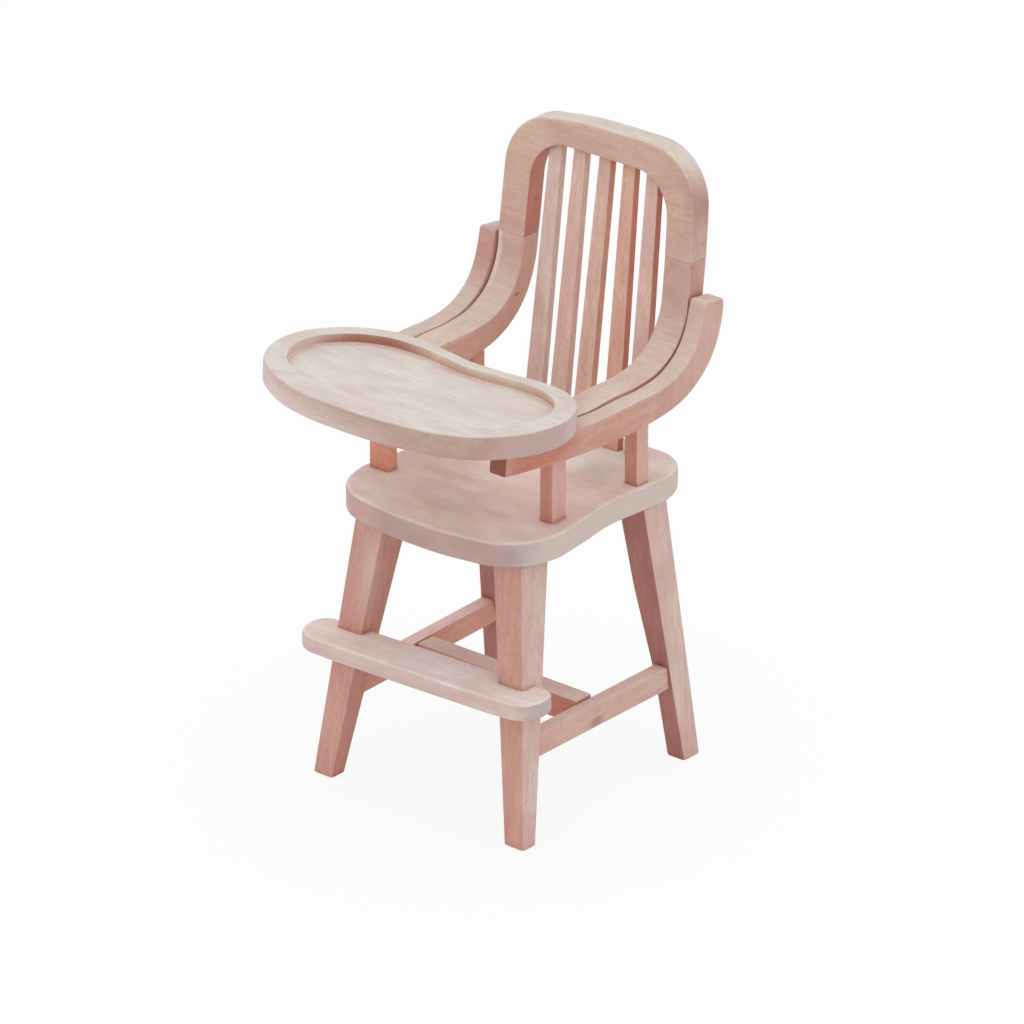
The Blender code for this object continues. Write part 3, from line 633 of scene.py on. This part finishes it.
def smooth_group():
    """Nodes that join the facets of a piece and shade them smooth up to an angle."""
    name = "smooth_facets"
    if name in bpy.data.node_groups:
        return bpy.data.node_groups[name]
    tree = bpy.data.node_groups.new(name, "GeometryNodeTree")
    tree.interface.new_socket("Geometry", in_out="INPUT", socket_type="NodeSocketGeometry")
    tree.interface.new_socket("Geometry", in_out="OUTPUT", socket_type="NodeSocketGeometry")
    nodes = Nodes(tree)
    facets = nodes.node("NodeGroupInput")
    inputs = {"Geometry": facets, "Distance": SAME_POINT}
    joined = nodes.node("GeometryNodeMergeByDistance", inputs=inputs)
    inputs = {"Geometry": joined, "Name": "custom_normal"}
    plain = nodes.node("GeometryNodeRemoveAttribute", inputs=inputs)
    smooth = nodes.node("GeometryNodeSetShadeSmooth", inputs={"Geometry": plain})
    angle = nodes.node("GeometryNodeInputMeshEdgeAngle", output="Unsigned Angle")
    inputs = {"A": angle, "B": SHARP_ANGLE}
    sharp = nodes.node("FunctionNodeCompare", {"operation": "GREATER_THAN"}, inputs)
    inputs = {"Geometry": smooth, "Selection": sharp, "Shade Smooth": False}
    creased = nodes.node("GeometryNodeSetShadeSmooth", {"domain": "EDGE"}, inputs)
    nodes.node("NodeGroupOutput", inputs={0: creased})
    return tree


def dress(node, material):
    """Gives a node of the frame its finish and smooth rounded edges."""
    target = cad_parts[node]
    target.data.materials.clear()
    target.data.materials.append(material)
    smooth = target.modifiers.new("smooth facets", "NODES")
    smooth.node_group = smooth_group()
    flats = target.modifiers.new("flat faces stay flat", "WEIGHTED_NORMAL")
    flats.keep_sharp = True


# Settings

class WoodDetail(bpy.types.PropertyGroup):
    """Grain of the beech, its pale edges with a painted highlight, and the painted shade in its
    hollows and joints
    """

    ring_gap: length("Ring gap", "Distance between growth rings", 1.7 * MM, 0.5 * MM, 6 * MM)
    ring_strength: share("Rings", "How clearly the growth rings show", 0.20)
    streak_strength: share("Streaks", "How clearly the long streaks show", 0.45)
    fleck_strength: share("Flecks", "How clearly the ray flecks show", 0.70)
    blush_strength: share("Blush", "How clearly the pink and cream patches show", 0.6)
    end_grain_strength: share("End grain", "How clearly the cut ends show", 0.8)
    # The pale edges are partly wear and partly a painted highlight.
    edge_reach: length("Edge reach", "How far in an edge is worn pale", 0.5 * MM, 0.1 * MM, 3 * MM)
    edge_strength: share("Edges", "How pale the worn edges are", 0.6)
    # The hollows get red painted shade, as if light bounced between the parts.
    painted_shade_reach: length("Hollow reach", "How far hollows redden", 9 * MM, 1 * MM, 30 * MM)
    painted_shade_strength: share("Hollows", "How red the sheltered faces are", 0.30)
    # The joints get dirt and painted shade.
    crevice_reach: length("Joint reach", "How far joints darken", 1.1 * MM, 0.1 * MM, 10 * MM)
    crevice_strength: share("Joints", "How much the wood darkens in the joints", 0.6)


# The tones below change with the way a face looks and hold painted light and shade: faces under
# the seat and the tray and the inner faces of the legs, the arch and the tray are darker and
# redder as painted shade, and the tops are paler, partly from sanding and partly as painted light.
class SeatFinish(bpy.types.PropertyGroup):
    """Tones of the seat board"""

    side: tone("Outer sides", "Edge of the seat board, outwards", 221, 204, 195)
    inner: tone("Inner sides", "Edge of the seat board, inwards", 222, 203, 194)
    front: tone("Front edge", "Edge of the seat board at the front and rear", 197, 167, 159)
    # The top is pale as painted light against the shade of the tray above it.
    top: tone("Top", "Upper face of the seat board", 241, 222, 216)
    ends: tone("Cut ends", "End grain of the seat board", 210, 196, 188)


class FootrestFinish(bpy.types.PropertyGroup):
    """Tones of the footrest"""

    side: tone("Outer sides", "Edge of the footrest, outwards", 222, 203, 194)
    inner: tone("Inner sides", "Edge of the footrest, inwards", 222, 203, 194)
    front: tone("Front edge", "Edge of the footrest at the front and rear", 223, 200, 194)
    # The top is pale as painted light against the shade of the seat above it.
    top: tone("Top", "Upper face of the footrest", 243, 231, 227)
    ends: tone("Cut ends", "End grain of the footrest", 214, 204, 198)


class LegFinish(bpy.types.PropertyGroup):
    """Tones of the front legs"""

    side: tone("Outer sides", "Faces that look outwards", 216, 189, 182)
    # The inner faces are darker and redder as painted shade.
    inner: tone("Inner sides", "Faces that look inwards", 203, 150, 139)
    front: tone("Front faces", "Front and rear faces of the legs", 213, 166, 154)
    top: tone("Upper faces", "Faces that look upwards", 222, 190, 178)
    ends: tone("Cut ends", "End grain of the legs", 205, 165, 150)


class RearLegFinish(bpy.types.PropertyGroup):
    """Tones of the rear legs"""

    side: tone("Outer sides", "Faces that look outwards", 216, 190, 182)
    inner: tone("Inner sides", "Faces that look inwards", 210, 160, 148)
    # The front and rear faces are darker and redder as painted shade under the seat.
    front: tone("Front faces", "Front and rear faces of the legs", 181, 130, 123)
    top: tone("Upper faces", "Faces that look upwards", 222, 190, 178)
    ends: tone("Cut ends", "End grain of the legs", 205, 165, 150)


class StretcherFinish(bpy.types.PropertyGroup):
    """Tones of the side stretchers and the cross stretcher"""

    side: tone("Outer sides", "Faces that look outwards", 213, 178, 167)
    inner: tone("Inner sides", "Faces that look inwards", 218, 166, 152)
    front: tone("Front faces", "Front and rear faces", 216, 160, 144)
    top: tone("Top", "Upper faces", 228, 205, 197)
    ends: tone("Cut ends", "End grain of the stretchers", 205, 160, 146)


class ArchFinish(bpy.types.PropertyGroup):
    """Tones of the back arch"""

    side: tone("Outer edge", "Outer edge of the arch", 200, 165, 155)
    # The inner edge is darker and redder as painted shade inside the arch.
    inner: tone("Inner edge", "Inner edge of the arch", 195, 138, 121)
    front: tone("Front face", "Front and rear face of the arch", 214, 181, 168)
    top: tone("Top", "Upper edge of the arch", 217, 208, 198)
    ends: tone("Cut ends", "End grain of the arch", 220, 192, 178)


class SlatFinish(bpy.types.PropertyGroup):
    """Tones of the slats"""

    side: tone("Outer sides", "Narrow edges that look outwards", 200, 146, 128)
    inner: tone("Inner sides", "Narrow edges that look inwards", 220, 192, 180)
    front: tone("Front faces", "Broad faces of the slats", 226, 196, 184)
    top: tone("Upper faces", "Faces that look upwards", 222, 190, 178)
    ends: tone("Cut ends", "End grain of the slats", 200, 160, 145)


class ArmFinish(bpy.types.PropertyGroup):
    """Tones of the fixed rails and the tray arms"""

    side: tone("Outer sides", "Outer faces of the rails and tray arms", 207, 166, 153)
    inner: tone("Inner sides", "Inner faces of the rails and tray arms", 213, 175, 161)
    front: tone("Front faces", "Faces that look forward", 212, 180, 170)
    top: tone("Top", "Upper faces", 216, 197, 187)
    # The cut ends are dark as end grain and as painted shade under the tray.
    ends: tone("Cut ends", "End grain at the front of the arms", 152, 100, 88)


class PostFinish(bpy.types.PropertyGroup):
    """Tones of the arm posts and the splice dowels"""

    side: tone("Outer sides", "Faces that look outwards", 218, 181, 172)
    # The inner, front and rear faces are darker and redder than the outer sides as painted shade,
    # such as under the tray.
    inner: tone("Inner sides", "Faces that look inwards", 220, 170, 152)
    front: tone("Front faces", "Front and rear faces", 209, 155, 140)
    top: tone("Upper faces", "Faces that look upwards", 222, 182, 168)
    ends: tone("Cut ends", "End grain of the posts", 200, 150, 132)


class TrayFinish(bpy.types.PropertyGroup):
    """Tones of the tray"""

    side: tone("Outer sides", "Edge of the tray, outwards", 196, 162, 155)
    # The recess wall, in the inner sides and in the wall tone, is darker and redder than the floor
    # as painted shade.
    inner: tone("Inner sides", "Wall of the recess, sideways", 206, 172, 156)
    front: tone("Front edge", "Edge of the tray at the front and rear", 194, 165, 154)
    top: tone("Floor", "Floor of the tray", 221, 214, 209)
    rim: tone("Rim", "Raised rim of the tray", 220, 212, 206)
    wall: tone("Recess wall", "Wall between floor and rim", 218, 188, 168)
    ends: tone("Cut ends", "End grain of the tray", 196, 171, 167)


class Studio(bpy.types.PropertyGroup):
    """Camera, floor and lights"""

    azimuth: FloatProperty(
        name="Azimuth",
        description="Camera's angle from the front towards the right",
        subtype="ANGLE",
        default=math.radians(40.538),
    )
    elevation: FloatProperty(
        name="Elevation",
        description="Camera's angle above the floor",
        subtype="ANGLE",
        default=math.radians(24.24),
    )
    distance: length("Distance", "From the camera to the chair's middle", 1.16501, 0.1, 10.0)
    middle_height: length("Middle height", "Height of the chair's middle", 48.5 * MM, 0.0, 1.0)
    focal_pixels: pixels("Focal length", "Focal length, in a picture 1024 pixels wide", 7821.0)
    middle_across: pixels("Middle across", "Column at which the chair's middle is seen", 482.0)
    middle_down: pixels("Middle down", "Row at which the chair's middle is seen", 485.2)
    floor: tone("Floor", "Colour of the floor", 246, 246, 246)
    key_power: power("Key light", "Power of the large soft light above", 0.7)
    side_power: power("Side light", "Power of the soft light from the right", 0.25)
    fill: FloatProperty(
        name="Fill",
        description="Strength of the even light from all round",
        default=0.8,
        min=0.0,
    )


# Operators

class Finish:
    """What the finishing operators share."""

    bl_options = {"REGISTER", "UNDO"}
    settings = ""
    grain = "Z"

    def wood(self, context, node, seed, grain=None, **extras):
        """Dresses a node in beech with the tones of this step."""
        tones = getattr(context.scene, self.settings)
        detail = context.scene.chair_wood
        dress(node, beech(node, tones, grain or self.grain, seed, detail, **extras))


class CHAIR_OT_seat(Finish, bpy.types.Operator):
    """Finishes the seat board"""

    bl_idname = "chair.seat"
    bl_label = "Seat"
    settings = "chair_seat"
    grain = "X"

    def execute(self, context):
        pale_left_corner = ("top", (-14.5, -11.5, 48.0), (11.0, 9.0, 6.0), (1.09, 1.16, 1.18))
        pale_right_corner = ("top", (13.0, -9.0, 48.0), (7.0, 6.0, 6.0), (1.07, 1.08, 1.12))
        dark_middle = ("top", (-8.0, 2.0, 48.0), (8.0, 6.0, 6.0), (0.88, 0.84, 0.83))
        dull_front = ("top", (0.5, -5.0, 48.0), (9.0, 7.0, 6.0), (0.91, 0.90, 0.92))
        cool_rear = ("top", (4.0, 20.0, 48.0), (16.0, 9.0, 6.0), (0.93, 1.07, 1.07))
        # Painted shadow of the tray arm on the seat, beside the rear post
        painted_post_shadow = ("top", (9.1, 14.2, 48.0), (5.0, 6.0, 6.0), (0.77, 0.73, 0.73))
        grey_right_edge = ("sides", (17.8, -12.2, 46.5), (4.0, 4.0, 4.0), (0.77, 0.76, 0.84))
        pale_left_edge = ("sides", (-12.0, -15.0, 46.0), (6.0, 4.0, 4.0), (1.15, 1.10, 1.15))
        washes = (
            pale_left_corner,
            pale_right_corner,
            dark_middle,
            dull_front,
            cool_rear,
            painted_post_shadow,
            grey_right_edge,
            pale_left_edge,
        )
        self.wood(context, "seat", seed=1.3, figure=0.5, hollows=0.75, washes=washes)
        return {"FINISHED"}


class CHAIR_OT_footrest(Finish, bpy.types.Operator):
    """Finishes the footrest board"""

    bl_idname = "chair.footrest"
    bl_label = "Footrest"
    settings = "chair_footrest"
    grain = "X"

    def execute(self, context):
        pale_middle = ("top", (2.0, -13.0, 24.5), (12.0, 6.0, 4.0), (1.06, 1.10, 1.15))
        grey_end = ("sides", (23.0, -13.5, 23.5), (4.0, 5.0, 4.0), (0.77, 0.76, 0.80))
        self.wood(context, "footrest", seed=2.6, hollows=0.0, washes=(pale_middle, grey_end))
        return {"FINISHED"}


class CHAIR_OT_legs(Finish, bpy.types.Operator):
    """Finishes the two front legs"""

    bl_idname = "chair.legs"
    bl_label = "Front legs"
    settings = "chair_legs"

    def execute(self, context):
        knot = ((-15.4, -12.6, 25.2), (0.7, 0.6, 0.5), 0.6)
        pale = ("sides", (-10.5, -12.0, 33.0), (6.0, 4.0, 12.0), (1.07, 1.32, 1.36))
        self.wood(context, "front_leg_left", seed=3.1, stains=(knot,), washes=(pale,), figure=1.4)
        streak = ((15.0, -12.9, 33.0), (0.5, 0.5, 2.2), 0.25)
        self.wood(context, "front_leg_right", seed=4.1, stains=(streak,), figure=1.4)
        return {"FINISHED"}


class CHAIR_OT_rear_legs(Finish, bpy.types.Operator):
    """Finishes the two rear legs"""

    bl_idname = "chair.rear_legs"
    bl_label = "Rear legs"
    settings = "chair_rear_legs"

    def execute(self, context):
        for index, side in enumerate(SIDES):
            self.wood(context, "rear_leg_" + side, seed=5.7 + index, figure=1.4)
        return {"FINISHED"}


class CHAIR_OT_stretchers(Finish, bpy.types.Operator):
    """Finishes the side stretchers and the cross stretcher"""

    bl_idname = "chair.stretchers"
    bl_label = "Stretchers"
    settings = "chair_stretchers"
    grain = "Y"

    def execute(self, context):
        pale_top = ("top", (-16.0, 6.0, 19.0), (6.0, 24.0, 8.0), (1.18, 1.15, 1.20))
        self.wood(context, "side_stretcher_left", seed=7.9, washes=(pale_top,), figure=1.3)
        knot = ((18.3, 4.9, 13.4), (1.5, 2.1, 1.0), 0.55)
        self.wood(context, "side_stretcher_right", seed=8.4, stains=(knot,), figure=1.3)
        # Painted shade on the front of the cross stretcher's right end
        painted_shade_right_end = ("sides", (12.4, 3.0, 14.4), (5.0, 5.0, 5.0), (0.88, 0.74, 0.80))
        self.wood(context, "cross_stretcher", seed=9.2, grain="X", washes=(painted_shade_right_end,))
        return {"FINISHED"}


class CHAIR_OT_arch(Finish, bpy.types.Operator):
    """Finishes the back arch"""

    bl_idname = "chair.arch"
    bl_label = "Back arch"
    settings = "chair_arch"
    grain = "X"

    def execute(self, context):
        knot = ((18.3, 29.0, 83.2), (1.0, 0.5, 0.4), 0.45)
        streak = ((16.6, 26.8, 84.6), (2.2, 0.6, 0.35), 0.30)
        inner_knot = ((-13.4, 28.2, 82.4), (0.6, 1.0, 0.6), 0.40)
        pale_left = ("all", (-13.5, 27.0, 88.0), (5.0, 5.0, 10.0), (1.07, 1.10, 1.08))
        dark_shoulder = ("sides", (18.5, 29.0, 91.5), (4.0, 6.0, 8.0), (0.84, 0.80, 0.80))
        stains = (knot, streak, inner_knot)
        washes = (pale_left, dark_shoulder)
        strengths = {"ends": 0.0, "figure": 1.3}
        self.wood(context, "back_arch", seed=10.5, stains=stains, washes=washes, **strengths)
        return {"FINISHED"}


class CHAIR_OT_slats(Finish, bpy.types.Operator):
    """Finishes the slats of the back"""

    bl_idname = "chair.slats"
    bl_label = "Slats"
    settings = "chair_slats"
    tints = (
        (1.00, 1.09, 1.14),
        (1.02, 1.00, 1.02),
        (0.99, 0.97, 0.95),
        (0.99, 0.86, 0.79),
        (1.02, 1.04, 1.06),
    )
    first_seed = 11.3
    seed_gap = 1.7

    def execute(self, context):
        for index, tint in enumerate(self.tints):
            seed = self.first_seed + index * self.seed_gap
            self.wood(context, "slat_" + str(index + 1), seed=seed, tint=tint, figure=1.6)
        return {"FINISHED"}


class CHAIR_OT_arms(Finish, bpy.types.Operator):
    """Finishes the fixed rails and the tray arms"""

    bl_idname = "chair.arms"
    bl_label = "Arms"
    settings = "chair_arms"
    grain = "BENT"

    def execute(self, context):
        self.left_rail(context)
        self.left_tray_arm(context)
        self.right_rail(context)
        self.right_tray_arm(context)
        return {"FINISHED"}

    def left_rail(self, context):
        """Rail with two knots, a red splice and painted light on its face in the running gap."""
        lower_knot = ((-13.4, 23.8, 68.1), (0.6, 0.9, 0.4), 0.7)
        upper_knot = ((-13.4, 26.9, 79.8), (0.6, 0.6, 0.5), 0.5)
        pale_bend = ("all", (-15.6, 24.0, 77.5), (3.0, 4.0, 3.0), (1.12, 1.15, 1.20))
        red_splice = ("sides", (-13.4, 27.5, 82.0), (2.0, 4.0, 6.0), (0.97, 0.86, 0.88))
        # Painted light on the rail's face in the running gap
        painted_light_in_gap = ("sides", (-18.0, 20.0, 71.0), (0.6, 16.0, 12.0), (1.30, 1.50, 1.60))
        stains = (lower_knot, upper_knot)
        washes = (pale_bend, red_splice, painted_light_in_gap)
        strengths = {"hollows": 0.0, "joints": 0.0, "figure": 1.3}
        self.wood(context, "arm_rail_left", seed=21.4, stains=stains, washes=washes, **strengths)

    def left_tray_arm(self, context):
        """Tray arm with a red upper end and painted light on its face in the running gap."""
        red_end = ("all", (-20.0, 23.6, 73.0), (4.0, 5.0, 7.0), (0.96, 0.78, 0.76))
        # Painted light on the arm's face in the running gap
        painted_light_in_gap = ("sides", (-18.4, 20.0, 71.0), (0.6, 16.0, 12.0), (1.30, 1.50, 1.60))
        washes = (red_end, painted_light_in_gap)
        tint = (0.95, 0.97, 1.0)
        strengths = {"hollows": 0.0, "joints": 0.0, "figure": 1.3}
        self.wood(context, "tray_arm_left", seed=23.8, washes=washes, tint=tint, **strengths)

    def right_rail(self, context):
        """Rail with a small knot and a darker splice."""
        knot = ((18.5, 26.4, 80.2), (0.5, 0.8, 0.5), 0.3)
        dark_splice = ("all", (16.0, 27.0, 80.0), (5.0, 6.0, 10.0), (0.93, 0.90, 0.92))
        stains = (knot,)
        washes = (dark_splice,)
        strengths = {"joints": 0.4, "figure": 1.3}
        self.wood(context, "arm_rail_right", seed=22.4, stains=stains, washes=washes, **strengths)

    def right_tray_arm(self, context):
        """Tray arm that is pale at its bend and has red painted shade at its front, under the
        tray.
        """
        pale_bend = ("sides", (22.3, 24.8, 69.0), (4.0, 9.0, 10.0), (1.08, 1.17, 1.20))
        red_middle = ("sides", (22.3, 5.0, 62.0), (4.0, 9.0, 4.0), (0.96, 0.87, 0.85))
        # Red painted shade on the arm's front, under the tray
        red_painted_shade_front = ("sides", (22.3, -13.0, 63.5), (4.0, 10.0, 5.0), (0.97, 0.64, 0.60))
        washes = (pale_bend, red_middle, red_painted_shade_front)
        strengths = {"ends": 1.25, "joints": 0.4, "figure": 1.3}
        self.wood(context, "tray_arm_right", seed=24.8, washes=washes, **strengths)


class CHAIR_OT_posts(Finish, bpy.types.Operator):
    """Finishes the posts under the arms"""

    bl_idname = "chair.posts"
    bl_label = "Arm posts"
    settings = "chair_posts"
    front_tints = {"left": (1.20, 1.13, 1.07), "right": WHITE}

    def execute(self, context):
        for index, side in enumerate(SIDES):
            tint = self.front_tints[side]
            self.wood(context, "front_post_" + side, seed=26.2 + index, tint=tint, figure=1.4)
            self.wood(context, "rear_post_" + side, seed=28.9 + index, figure=1.4)
        return {"FINISHED"}


class CHAIR_OT_tray(Finish, bpy.types.Operator):
    """Finishes the tray"""

    bl_idname = "chair.tray"
    bl_label = "Tray"
    settings = "chair_tray"
    grain = "X"

    def execute(self, context):
        seam = ((-12.9, -28.4, 68.2), (0.25, 2.0, 1.4), 0.6)
        knot = ((22.0, -12.0, 69.3), (0.8, 0.6, 0.5), 0.6)
        pale_edge = ("sides", (-19.0, -25.0, 67.5), (36.0, 20.0, 6.0), (1.48, 1.74, 1.90))
        # Painted shade on the left wall of the recess
        painted_shade_wall = ("sides", (-16.0, -6.0, 69.0), (11.0, 7.0, 4.0), (0.64, 0.42, 0.36))
        pale_end = ("sides", (25.0, -8.0, 67.5), (4.0, 5.0, 5.0), (1.12, 1.25, 1.25))
        stains = (seam, knot)
        washes = (pale_edge, painted_shade_wall, pale_end)
        self.wood(context, "tray", seed=31.6, stains=stains, washes=washes, faces=tray_faces)
        return {"FINISHED"}


class CHAIR_OT_pins(Finish, bpy.types.Operator):
    """Finishes the hinge pins and the splice dowels"""

    bl_idname = "chair.pins"
    bl_label = "Pins and dowels"
    settings = "chair_posts"

    def execute(self, context):
        for index, side in enumerate(SIDES):
            dress("hinge_pin_" + side, drawn_steel("hinge_pin_" + side))
            self.wood(context, "splice_dowel_" + side, seed=33.5 + index)
        return {"FINISHED"}


class CHAIR_OT_stage(bpy.types.Operator):
    """Makes the floor, the lights and the camera"""

    bl_idname = "chair.stage"
    bl_label = "Studio"
    bl_options = {"REGISTER", "UNDO"}

    def execute(self, context):
        studio = context.scene.chair_studio
        self.floor(context, studio)
        self.world(context, studio)
        self.soft_light(context, "key_light", KEY_PLACE, KEY_SIZE, studio.key_power)
        self.soft_light(context, "side_light", SIDE_PLACE, SIDE_SIZE, studio.side_power)
        self.camera(context, studio)
        context.scene.view_settings.view_transform = "Standard"
        return {"FINISHED"}

    def floor(self, context, studio):
        """Pale floor that the camera sees nearly white, and that keeps the shadow."""
        form = bmesh.new()
        bmesh.ops.create_grid(form, x_segments=1, y_segments=1, size=FLOOR_REACH)
        mesh = bpy.data.meshes.new("floor")
        form.to_mesh(mesh)
        form.free()
        floor = bpy.data.objects.new("floor", mesh)
        context.scene.collection.objects.link(floor)
        shader = Shader("floor_paper")
        surface = shader.surface.inputs
        shader.feed(surface["Base Color"], studio.floor)
        surface["Roughness"].default_value = FLOOR_ROUGHNESS
        surface["Specular IOR Level"].default_value = FLOOR_SHEEN
        lit = Value(shader, shader.surface.outputs[0])
        white = shader.node("ShaderNodeEmission", inputs={"Color": WHITE, "Strength": 1.0})
        seen = shader.background_rays() * FLOOR_WHITE
        mixed = shader.node("ShaderNodeMixShader", inputs={0: seen, 1: lit, 2: white})
        shader.feed(shader.tree.nodes["Material Output"].inputs["Surface"], mixed)
        mesh.materials.append(shader.material)

    def world(self, context, studio):
        """Even light from all round, with a white background."""
        world = bpy.data.worlds.new("studio")
        context.scene.world = world
        world.use_nodes = True
        world.node_tree.nodes.clear()
        nodes = Nodes(world.node_tree)
        inputs = {"Color": WHITE, "Strength": studio.fill}
        fill = nodes.node("ShaderNodeBackground", inputs=inputs)
        white = nodes.node("ShaderNodeBackground", inputs={"Color": WHITE, "Strength": 1.0})
        inputs = {0: nodes.background_rays(), 1: fill, 2: white}
        mixed = nodes.node("ShaderNodeMixShader", inputs=inputs)
        nodes.node("ShaderNodeOutputWorld", inputs={"Surface": mixed})

    def soft_light(self, context, name, place, size, watts):
        """Round light that is turned towards the chair."""
        data = bpy.data.lights.new(name, "AREA")
        data.shape = "DISK"
        data.size = size
        data.energy = watts
        light = bpy.data.objects.new(name, data)
        light.location = place
        aim = Vector(LIGHT_AIM) - light.location
        light.rotation_euler = aim.to_track_quat("-Z", "Y").to_euler()
        context.scene.collection.objects.link(light)

    def camera(self, context, studio):
        """Camera that sees the chair's middle at the photograph's row and column."""
        azimuth = studio.azimuth
        elevation = studio.elevation
        rightwards = math.sin(azimuth)
        forwards = math.cos(azimuth)
        level = math.cos(elevation)
        rise = math.sin(elevation)
        back = Vector((rightwards * level, -forwards * level, rise))
        right = Vector((forwards, rightwards, 0.0))
        up = Vector((-rightwards * rise, forwards * rise, level))
        focal = studio.focal_pixels
        half = PICTURE_WIDTH / 2
        look = -back
        look -= right * (studio.middle_across - half) / focal
        look += up * (studio.middle_down - half) / focal
        data = bpy.data.cameras.new("camera")
        data.sensor_width = SENSOR_WIDTH
        data.lens = focal / PICTURE_WIDTH * SENSOR_WIDTH
        data.clip_start = NEAREST
        data.clip_end = FARTHEST
        camera = bpy.data.objects.new("camera", data)
        camera.location = Vector((0.0, 0.0, studio.middle_height)) + back * studio.distance
        camera.rotation_mode = "QUATERNION"
        camera.rotation_quaternion = look.normalized().to_track_quat("-Z", "Y")
        context.scene.collection.objects.link(camera)
        context.scene.camera = camera


OPERATORS = (
    CHAIR_OT_seat,
    CHAIR_OT_footrest,
    CHAIR_OT_legs,
    CHAIR_OT_rear_legs,
    CHAIR_OT_stretchers,
    CHAIR_OT_arch,
    CHAIR_OT_slats,
    CHAIR_OT_arms,
    CHAIR_OT_posts,
    CHAIR_OT_tray,
    CHAIR_OT_pins,
    CHAIR_OT_stage,
)

SETTINGS = {
    "chair_wood": WoodDetail,
    "chair_seat": SeatFinish,
    "chair_footrest": FootrestFinish,
    "chair_legs": LegFinish,
    "chair_rear_legs": RearLegFinish,
    "chair_stretchers": StretcherFinish,
    "chair_arch": ArchFinish,
    "chair_slats": SlatFinish,
    "chair_arms": ArmFinish,
    "chair_posts": PostFinish,
    "chair_tray": TrayFinish,
    "chair_studio": Studio,
}


class CHAIR_PT_panel(bpy.types.Panel):
    """Lists the steps and the settings of the chair"""

    bl_idname = "CHAIR_PT_panel"
    bl_label = "Dollhouse high chair"
    bl_space_type = "VIEW_3D"
    bl_region_type = "UI"
    bl_category = "High chair"

    def draw(self, context):
        for operator in OPERATORS:
            self.layout.operator(operator.bl_idname)
        for name, group in SETTINGS.items():
            box = self.layout.box()
            for setting in group.__annotations__:
                box.prop(getattr(context.scene, name), setting)


CLASSES = (*SETTINGS.values(), *OPERATORS, CHAIR_PT_panel)


def register():
    for item in CLASSES:
        bpy.utils.register_class(item)
    for name, group in SETTINGS.items():
        setattr(bpy.types.Scene, name, PointerProperty(type=group))


def unregister():
    for name in SETTINGS:
        delattr(bpy.types.Scene, name)
    for item in reversed(CLASSES):
        bpy.utils.unregister_class(item)


def run(operator):
    """Calls an operator by its class and stops if it doesn't finish."""
    group, name = operator.bl_idname.split(".")
    result = getattr(getattr(bpy.ops, group), name)()
    if result != {"FINISHED"}:
        raise RuntimeError(operator.bl_idname + " did not finish")


def main():
    """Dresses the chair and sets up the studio."""
    register()
    for operator in OPERATORS:
        run(operator)


if __name__ == "__main__":
    main()
